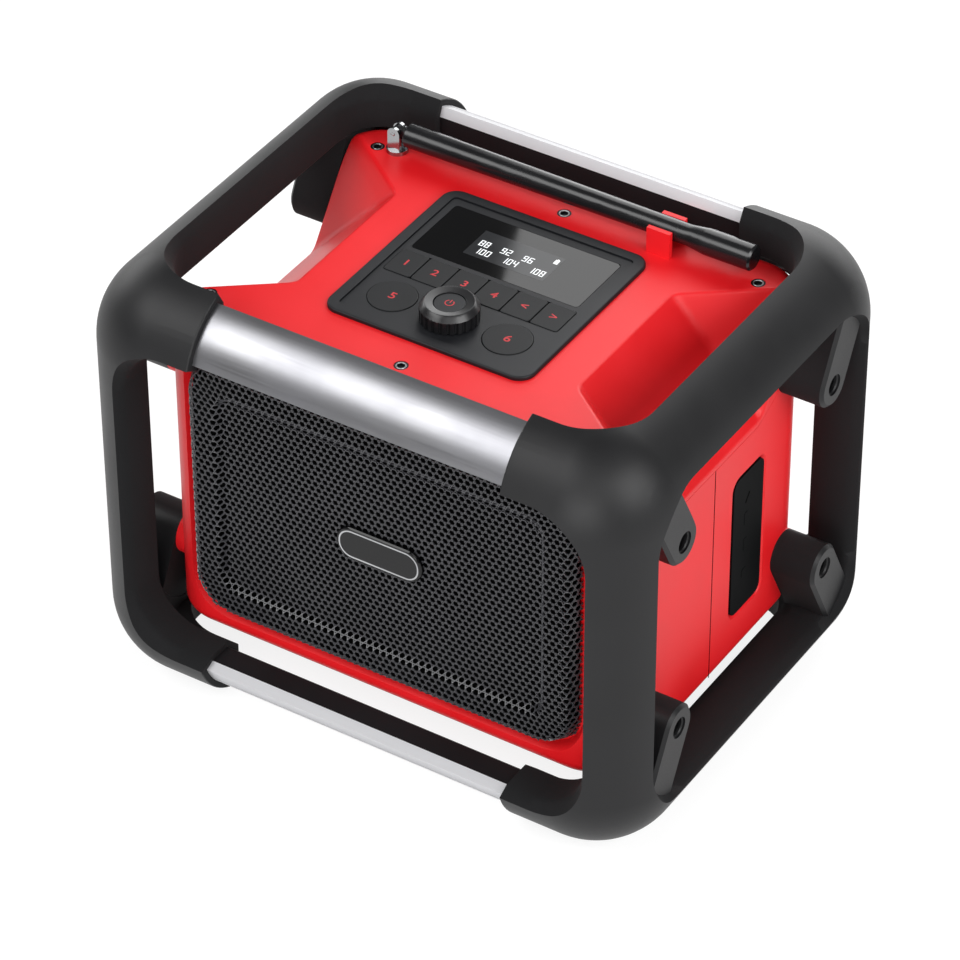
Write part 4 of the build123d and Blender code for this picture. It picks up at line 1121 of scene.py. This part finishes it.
@dataclass
class Housing:
    """The red shells with their covers, screws and the parts behind them.

    Attributes:
        shell_round: Rounding of the shells' edges, in millimetres.
        cover_round: Rounding of the black covers and of the battery pack.
        screw_round: Rounding of the cover screws.
        rim: Radius and height of the points of a screw rim's section.
        rim_steps: Segments of its circle.
        rim_x: Places of the screws along X.
        rim_y: Their distance from the middle, front to rear.
        rim_z: Height of the rims' undersides.
        seam: Thickness, width and height of the joint on a side wall.
        seam_foot: Height of its lower end.
        side_x: Distance of the side walls from the middle.
    """

    shell_round: float = 0.6
    cover_round: float = 0.4
    screw_round: float = 0.15
    rim: tuple[tuple[float, float], ...] = (
        (2.36, 0.0),
        (3.1, 0.0),
        (2.95, 0.16),
        (2.5, 0.16),
    )
    rim_steps: int = 24
    rim_x: tuple[float, ...] = (-126.0, 0.0, 126.0)
    rim_y: float = 84.5
    rim_z: float = 251.3
    seam: tuple[float, float, float] = (0.16, 0.7, 149.0)
    seam_foot: float = 36.0
    side_x: float = 150.0

    def build(self) -> None:
        """Dresses the shells and what they hold."""
        for name in ("front_shell", "rear_shell", "top_cover", "battery_door"):
            dress(name, RED_ABS, self.shell_round)
        for name in ("base_cover", "battery_bay", "battery_pack", "port_panel"):
            dress(name, BLACK_ABS, self.cover_round)
        dress("cover_screws", BLACK_STEEL, self.screw_round)
        dress("main_board", BOARD_GREEN)
        for side in ("left", "right"):
            dress(f"{side}_speaker", BLACK_STEEL)
            dress(f"{side}_speaker_cone", CONE_PAPER)
        self.screw_rims()
        self.side_seams()

    def screw_rims(self) -> None:
        """Lays a bright washer face round each cover screw's socket."""
        rims = bmesh.new()
        for across in self.rim_x:
            for along in (-self.rim_y, self.rim_y):
                place = (across, along, self.rim_z)
                absorb(rims, ring(self.rim, place, self.rim_steps))
        settle(rims, "cover_screw_rims", ZINC_STEEL, "radio", True)

    def side_seams(self) -> None:
        """Lays the dark joint between the two shells on both side walls."""
        seams = bmesh.new()
        for side in (-1, 1):
            place = (side * self.side_x, 0.0, self.seam_foot)
            absorb(seams, slab(self.seam, 0.0, place))
        settle(seams, "side_seams", BAFFLE_AND_SHADE_BLACK, "radio")


@dataclass
class SpeakerGrille:
    """Fine hexagonal mesh pressed into a stepped pan, with the baffle board behind it.

    Attributes:
        pitch: Distance between neighbouring holes, in millimetres.
        web: Metal left between two holes.
        sheet: Thickness of the sheet.
        centre: Middle of the pan's border plane.
        field: Half width and half height of the sunken field.
        field_depth: Depth of the field behind the border plane.
        folds: Developed length, outward run and rise of each fold from the field out.
        corners: Radius of the outline at the start and after each fold.
        first: Place of one hole's middle from the pan's middle.
        doublings: How often the sheet's pattern doubles, across and up.
        halvings: Steps of the search for a point's place in the folds.
        margin: Developed length past the folds that the search still covers.
        shared: Distance within which the corners of two hexagons are one.
        layers: Width, height, thickness and corner radius of the board's flat layers.
        trays: Width, height and rise of its two trays, whose floors are sunk.
        tray_corner: Radius of the trays' corners.
        tray_floor: Thickness of their floors.
        lip: Width of the raised lip round the floors.
        slope: Run of the step between lip and floor.
        board_y: Place of the board's back along Y.
        badge_round: Rounding of the badge.
        rim: Width, height and thickness of the badge's rim.
        rim_corner: Radius of its ends.
        rim_steps: Segments of a quarter of an end.
        rim_width: Width of its line.
        rim_y: Place of its back along Y.
    """

    pitch: float = 4.374
    web: float = 1.02
    sheet: float = 0.65
    centre: tuple[float, float, float] = (0.0, -111.5, 136.5)
    field: tuple[float, float] = (104.8, 66.5)
    field_depth: float = 4.5
    folds: tuple[tuple[float, float, float], ...] = (
        (5.41, 3.0, 4.5),
        (15.5, 15.5, 0.0),
        (10.2, 4.5, -9.2),
    )
    corners: tuple[float, ...] = (10.0, 12.0, 20.0, 24.5)
    first: tuple[float, float] = (0.896, -0.08)
    doublings: tuple[int, int] = (6, 5)
    halvings: int = 18
    margin: float = 6.0
    shared: float = 0.05
    layers: tuple[tuple[float, float, float, float], ...] = (
        (252.0, 175.6, 1.2, 21.0),
        (250.0, 173.6, 2.6, 20.0),
    )
    trays: tuple[tuple[float, float, float], ...] = (
        (248.0, 171.6, 5.0),
        (245.8, 169.4, 7.2),
    )
    tray_corner: float = 20.0
    tray_floor: float = 1.0
    lip: float = 13.5
    slope: float = 0.4
    board_y: float = -102.4
    badge_round: float = 0.4
    rim: tuple[float, float, float] = (52.6, 18.6, 0.25)
    rim_corner: float = 8.6
    rim_steps: int = 12
    rim_width: float = 0.9
    rim_y: float = -109.98

    @property
    def row(self) -> float:
        """Distance between neighbouring rows of holes, in millimetres."""
        return self.pitch * math.sqrt(3) / 2

    def _section(self, reach: float) -> tuple[float, float, float]:
        """Follows the pan's section from the field's edge outwards.

        Args:
            reach: Developed distance from the field's edge.

        Returns:
            Outward run, depth towards the front and corner radius there.
        """
        run = 0.0
        depth = -self.field_depth
        spans = zip(self.folds, self.corners, self.corners[1:])
        for (length, out, rise), start, end in spans:
            part = min(max(reach / length, 0.0), 1.0)
            run += out * part
            depth += rise * part
            corner = start + (end - start) * part
            reach -= length
            if reach <= 0:
                break
        return run, depth, corner

    def _inside(self, across: float, up: float, reach: float) -> bool:
        """Tells whether a point of the flat sheet lies inside the outline at a reach.

        Args:
            across: Place along X on the flat sheet, from the pan's middle.
            up: Place along Z on it.
            reach: Developed distance from the field's edge.

        Returns:
            True inside the outline or on it.
        """
        run, _, corner = self._section(reach)
        middle = [half + run - corner for half in self.field]
        radius = reach - run + corner
        gap = [abs(across) - middle[0], abs(up) - middle[1]]
        if gap[0] <= 0 or gap[1] <= 0:
            return max(gap) <= radius
        return math.hypot(*gap) <= radius

    def _press(self, across: float, up: float) -> Vector:
        """Finds where a point of the flat sheet goes when the pan is pressed.

        Args:
            across: Place along X on the flat sheet, from the pan's middle.
            up: Place along Z on it.

        Returns:
            The point's place in the pan, from the middle of its border plane.
        """
        if self._inside(across, up, 0.0):
            return Vector((across, self.field_depth, up))
        low, high = 0.0, sum(fold[0] for fold in self.folds) + self.margin
        for _ in range(self.halvings):
            guess = (low + high) / 2
            if self._inside(across, up, guess):
                high = guess
            else:
                low = guess
        run, depth, corner = self._section(high)
        middle = [half + run - corner for half in self.field]
        radius = max(high - run + corner, MERGE_MM)
        place = []
        for value, centre in zip((across, up), middle):
            over = abs(value) - centre
            pressed = centre + over * corner / radius if over > 0 else abs(value)
            place.append(math.copysign(pressed, value))
        return Vector((place[0], -depth, place[1]))

    def _lattice(self) -> bmesh.types.BMesh:
        """Lays out the punched sheet, flat: one hexagon, set in, holed and repeated.

        Returns:
            The sheet, from its first hole at the origin.
        """
        shape = bmesh.new()
        reach = self.pitch / math.sqrt(3) * MM
        bmesh.ops.create_circle(shape, cap_ends=True, segments=6, radius=reach)
        upright = Matrix.Rotation(math.radians(30), 3, "Z")
        bmesh.ops.rotate(shape, cent=(0, 0, 0), matrix=upright, verts=shape.verts)
        inset = bmesh.ops.inset_individual(
            shape, faces=shape.faces[:], thickness=self.web / 2 * MM
        )
        web = set(inset["faces"])
        hole = [face for face in shape.faces if face not in web]
        bmesh.ops.delete(shape, geom=hole, context="FACES_ONLY")
        self._repeat(shape, (self.pitch / 2, self.row), 1)
        self._repeat(shape, (self.pitch, 0.0), self.doublings[0])
        self._repeat(shape, (0.0, 2 * self.row), self.doublings[1])
        return shape

    def _repeat(
        self, shape: bmesh.types.BMesh, step: tuple[float, float], doublings: int
    ) -> None:
        """Doubles the sheet along one direction a number of times.

        Args:
            shape: The sheet.
            step: Distance to the first copy, in millimetres.
            doublings: How often the whole is doubled.
        """
        for turn in range(doublings):
            copy = bmesh.ops.duplicate(shape, geom=shape.faces[:])["geom"]
            verts = [item for item in copy if isinstance(item, bmesh.types.BMVert)]
            shift = Vector((step[0], step[1], 0)) * MM * 2**turn
            bmesh.ops.translate(shape, vec=shift, verts=verts)

    def mesh_pan(self) -> None:
        """Punches, trims and presses the sheet, and gives it its thickness."""
        shape = self._lattice()
        columns = 2 ** self.doublings[0] // 2
        rows = 2 ** self.doublings[1]
        across = self.first[0] - columns * self.pitch
        up = self.first[1] - rows * self.row
        bmesh.ops.translate(shape, vec=Vector((across, up, 0)) * MM, verts=shape.verts)
        limit = sum(fold[0] for fold in self.folds)
        far = [
            face
            for face in shape.faces
            if not self._inside(*(face.calc_center_median().xy / MM), limit)
        ]
        bmesh.ops.delete(shape, geom=far, context="FACES")
        bmesh.ops.remove_doubles(shape, verts=shape.verts, dist=self.shared * MM)
        centre = Vector(self.centre)
        for vert in shape.verts:
            vert.co = (centre + self._press(vert.co.x / MM, vert.co.y / MM)) * MM
        bmesh.ops.recalc_face_normals(shape, faces=shape.faces)
        lead = min(shape.faces, key=lambda face: face.calc_center_median().length)
        if lead.normal.y > 0:
            bmesh.ops.reverse_faces(shape, faces=shape.faces[:])
        bmesh.ops.solidify(shape, geom=shape.faces[:], thickness=self.sheet * MM)
        pan = settle(shape, "grille_mesh", GRILLE_PAINT, "radio")
        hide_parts("speaker_grille")

    def baffle(self) -> None:
        """Makes the black board behind the mesh, stepped like the pan it lines."""
        board = bmesh.new()
        for width, height, thickness, corner in self.layers:
            absorb(board, slab((width, height, thickness), corner, (0, 0, 0)))
        for width, height, rise in self.trays:
            tray = slab((width, height, rise), self.tray_corner, (0, 0, 0))
            floor = max(tray.faces, key=lambda face: face.calc_center_median().z)
            for step in (self.lip, self.slope):
                bmesh.ops.inset_individual(tray, faces=[floor], thickness=step * MM)
            sink = (0, 0, (self.tray_floor - rise) * MM)
            bmesh.ops.translate(tray, vec=sink, verts=floor.verts[:])
            absorb(board, tray)
        bmesh.ops.transform(board, matrix=TO_FRONT, verts=board.verts)
        place = Vector((0, self.board_y, self.centre[2])) * MM
        bmesh.ops.translate(board, vec=place, verts=board.verts)
        settle(board, "baffle_board", BAFFLE_AND_SHADE_BLACK, "radio")

    def badge(self) -> None:
        """Dresses the bare badge and gives it its silver rim."""
        dress("badge_plate", WINDOW_GLOSS, self.badge_round)
        rim = slab(self.rim, self.rim_corner, (0, 0, 0), steps=self.rim_steps)
        caps = [face for face in rim.faces if abs(face.normal.z) > 0.9]
        for cap in caps:
            bmesh.ops.inset_individual(rim, faces=[cap], thickness=self.rim_width * MM)
        inner = [edge for cap in caps for edge in cap.edges]
        bmesh.ops.bridge_loops(rim, edges=inner)
        bmesh.ops.delete(rim, geom=caps, context="FACES_ONLY")
        bmesh.ops.transform(rim, matrix=TO_FRONT, verts=rim.verts)
        place = Vector((0, self.rim_y, self.centre[2])) * MM
        bmesh.ops.translate(rim, vec=place, verts=rim.verts)
        settle(rim, "badge_rim", SILVER_TRIM, "radio")

    def build(self) -> None:
        """Makes the mesh, the baffle and the badge."""
        self.mesh_pan()
        self.baffle()
        self.badge()


@dataclass
class ControlPanel:
    """Bezel, window and keys with their print, and the tuning knob.

    Attributes:
        bezel_round: Rounding of the bezel, in millimetres.
        window_round: Rounding of the window.
        knob_round: Rounding of the tuning knob.
        key_top: Height of the keys' faces.
        window_top: Height of the window.
        button_top: Height of the power button.
        row_y: Middle of the key row.
        key_x: Middles of its six keys.
        key_type: Size of their type.
        dial_y: Middle of the knob and the round keys.
        round_x: Distance of the round keys from the middle.
        round_type: Size of their type.
        glass: Width, length and thickness of the display's glass.
        glass_corner: Radius of its corners.
        glass_middle: Its middle.
        lines: Figures, start and middle of each line on it.
        cell: Size, corner radius and middle of the battery sign's body and tip.
        ink: Thickness of ink and of lit cells.
        power_ring: Inner and outer radius of the power symbol's ring.
        power_turn: Start and length of its arc, in degrees.
        power_steps: Segments of a full circle of it.
        power_bar: Width, length and middle of its bar.
        bar_corner: Radius of the bar's corners.
    """

    bezel_round: float = 0.6
    window_round: float = 0.2
    knob_round: float = 0.5
    key_top: float = 253.4
    window_top: float = 253.0
    button_top: float = 263.1
    row_y: float = -5.25
    key_x: tuple[float, ...] = (-48.0, -29.1, -9.7, 9.7, 29.1, 48.0)
    key_type: float = 7.4
    dial_y: float = -35.6
    round_x: float = 37.4
    round_type: float = 8.0
    glass: tuple[float, float, float] = (52.3, 24.8, 0.05)
    glass_corner: float = 0.3
    glass_middle: tuple[float, float] = (-0.9, 32.5)
    lines: tuple[tuple[str, float, float], ...] = (
        ("88  92  96", -24.2, 33.4),
        ("100  104  108", -22.9, 26.1),
    )
    cell: tuple[tuple[float, float, float, float, float], ...] = (
        (2.6, 3.9, 0.2, 22.4, 39.8),
        (1.3, 0.8, 0.0, 22.4, 42.1),
    )
    ink: float = 0.04
    power_ring: tuple[float, float] = (2.2, 2.75)
    power_turn: tuple[float, float] = (125.0, 290.0)
    power_steps: int = 48
    power_bar: tuple[float, float, float] = (0.55, 2.7, 1.6)
    bar_corner: float = 0.1

    def carried(self) -> None:
        """Dresses the solids of the panel."""
        dress("control_bezel", PANEL_ABS, self.bezel_round)
        dress("control_fascia", PANEL_ABS)
        dress("display_window", WINDOW_GLOSS, self.window_round)
        dress("display_module", BLACK_ABS)
        dress("control_board", BOARD_GREEN)
        dress("key_mat", KEY_RUBBER)
        dress("encoder", ZINC_STEEL)
        for number in range(1, 7):
            dress(f"key_{number}", KEY_RUBBER)
        dress("left_round_key", KEY_RUBBER)
        dress("right_round_key", KEY_RUBBER)
        dress("tuning_knob", KNOB_SATIN, self.knob_round)
        dress("power_button", PANEL_ABS)

    def display(self) -> None:
        """Lays the display's glass on the window, with plain dial numbers on it."""
        place = (*self.glass_middle, self.window_top)
        glass = slab(self.glass, self.glass_corner, place, steps=2)
        settle(glass, "display_glass", LCD_GLASS, "radio")
        top = self.window_top + self.glass[2]
        for number, (figures, start, along) in enumerate(self.lines, start=1):
            name = f"display_line_{number}"
            Numbers(name, figures, (start, along, top), thickness=self.ink).build()
        cell = bmesh.new()
        for width, length, corner, across, along in self.cell:
            size = (width, length, self.ink)
            absorb(cell, slab(size, corner, (across, along, top), steps=2))
        settle(cell, "display_battery", LCD_SEGMENT, "radio")

    def legends(self) -> None:
        """Prints plain numbers and arrows on the keys."""
        prints = [
            (f"key_{number}", mark, across, self.row_y, self.key_type)
            for number, (mark, across) in enumerate(zip("1234<>", self.key_x), start=1)
        ]
        for side, mark, across in (("left", "5", -1), ("right", "6", 1)):
            middle = across * self.round_x
            body = f"{side}_round_key"
            prints.append((body, mark, middle, self.dial_y, self.round_type))
        for body, mark, across, along, size in prints:
            place = (across, along, self.key_top)
            Legend(f"{body}_print", mark, place, size, body, self.ink).build()

    def power_mark(self) -> None:
        """Prints the power symbol on the knob's button: an open ring and a bar."""
        inner, outer = self.power_ring
        section = ((inner, 0.0), (outer, 0.0), (outer, self.ink), (inner, self.ink))
        start, arc = self.power_turn
        mark = ring(section, (0, 0, 0), self.power_steps, arc)
        turn = Matrix.Rotation(math.radians(start), 4, "Z")
        bmesh.ops.transform(mark, matrix=turn, verts=mark.verts)
        width, length, middle = self.power_bar
        size = (width, length, self.ink)
        absorb(mark, slab(size, self.bar_corner, (0, middle, 0), steps=2))
        place = Vector((0, self.dial_y, self.button_top)) * MM
        bmesh.ops.translate(mark, vec=place, verts=mark.verts)
        settle(mark, "power_print", LEGEND_RED, "power_button")

    def build(self) -> None:
        """Dresses the panel and adds its print."""
        self.carried()
        self.display()
        self.legends()
        self.power_mark()


@dataclass
class Antenna:
    """The folding antenna with its chromed knuckle.

    Attributes:
        knuckle_round: Rounding of the knuckle's edges, in millimetres.
        pin_round: Rounding of the pin's edges.
        sleeve_round: Rounding of the sleeve's edges.
    """

    knuckle_round: float = 0.3
    pin_round: float = 0.1
    sleeve_round: float = 0.3

    def build(self) -> None:
        """Dresses the base, the pin and the rod."""
        dress("antenna_base", CHROME, self.knuckle_round)
        dress("antenna_pin", CHROME, self.pin_round)
        dress("antenna_rod", ANTENNA_SLEEVE, self.sleeve_round)


@dataclass
class SocketFlap:
    """The rubber flap over the sockets.

    Attributes:
        flap_round: Rounding of the flap's edges, in millimetres.
        foot_x: Where the slit and the marks start, just under the flap's face.
        slit: Length, width and thickness of the black sheet that is painted shade in
            the finger slit.
        slit_corner: Radius of its corners.
        slit_middle: Its middle along Y and Z.
        slit_tilt: Its tilt in degrees.
        marks: Width, height and middle along Y and Z of the raised socket outlines.
        mark_rise: Their height above the face.
        mark_corner: Radius of their corners, as a share of the smaller side.
        mark_edge: Bevel of their upper edges.
    """

    flap_round: float = 0.8
    foot_x: float = 149.88
    slit: tuple[float, float, float] = (7.4, 1.5, 0.06)
    slit_corner: float = 0.7
    slit_middle: tuple[float, float] = (38.1, 141.4)
    slit_tilt: float = 52.0
    marks: tuple[tuple[float, float, float, float], ...] = (
        (4.2, 9.0, 37.2, 127.0),
        (4.2, 9.0, 37.2, 108.5),
        (6.4, 6.4, 37.2, 88.0),
    )
    mark_rise: float = 0.25
    mark_corner: float = 0.3
    mark_edge: float = 0.1

    def build(self) -> None:
        """Dresses the flap, lays painted shade in its slit as a black sheet and raises
        outlines of the sockets.
        """
        dress("port_cover", FLAP_RUBBER, self.flap_round)
        # A thin black sheet on the face stands for the shade inside the finger slit:
        # painted shade.
        slit = slab(self.slit, self.slit_corner, (0, 0, 0), steps=4)
        lean = Matrix.Rotation(math.radians(self.slit_tilt), 4, "Z")
        bmesh.ops.transform(slit, matrix=lean, verts=slit.verts)
        self._stand(slit, *self.slit_middle)
        settle(slit, "flap_slit_painted_shade", BAFFLE_AND_SHADE_BLACK, "port_cover")
        raised = bmesh.new()
        for width, height, along, up in self.marks:
            corner = min(width, height) * self.mark_corner
            size = (width, height, self.mark_rise)
            outline = slab(size, corner, (0, 0, 0), self.mark_edge, steps=4)
            self._stand(outline, along, up)
            absorb(raised, outline)
        settle(raised, "flap_marks", FLAP_RUBBER, "port_cover")

    def _stand(self, shape: bmesh.types.BMesh, along: float, up: float) -> None:
        """Stands a flat shape up on the flap's face.

        Args:
            shape: The shape, made in XY about the origin.
            along: Where its middle goes along Y, in millimetres.
            up: Where its middle goes along Z.
        """
        bmesh.ops.transform(shape, matrix=TO_RIGHT, verts=shape.verts)
        place = Vector((self.foot_x, along, up)) * MM
        bmesh.ops.translate(shape, vec=place, verts=shape.verts)


def main() -> None:
    """Builds the radio's sub-assemblies in order and reports each."""
    logging.basicConfig(level=logging.INFO, format="%(name)s: %(message)s")
    FRAME.update(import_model())
    Studio().build()
    for kind in (Cage, Housing, SpeakerGrille, ControlPanel, Antenna, SocketFlap):
        kind().build()
        LOG.info("finished %s", kind.__name__)


if __name__ == "__main__":
    main()
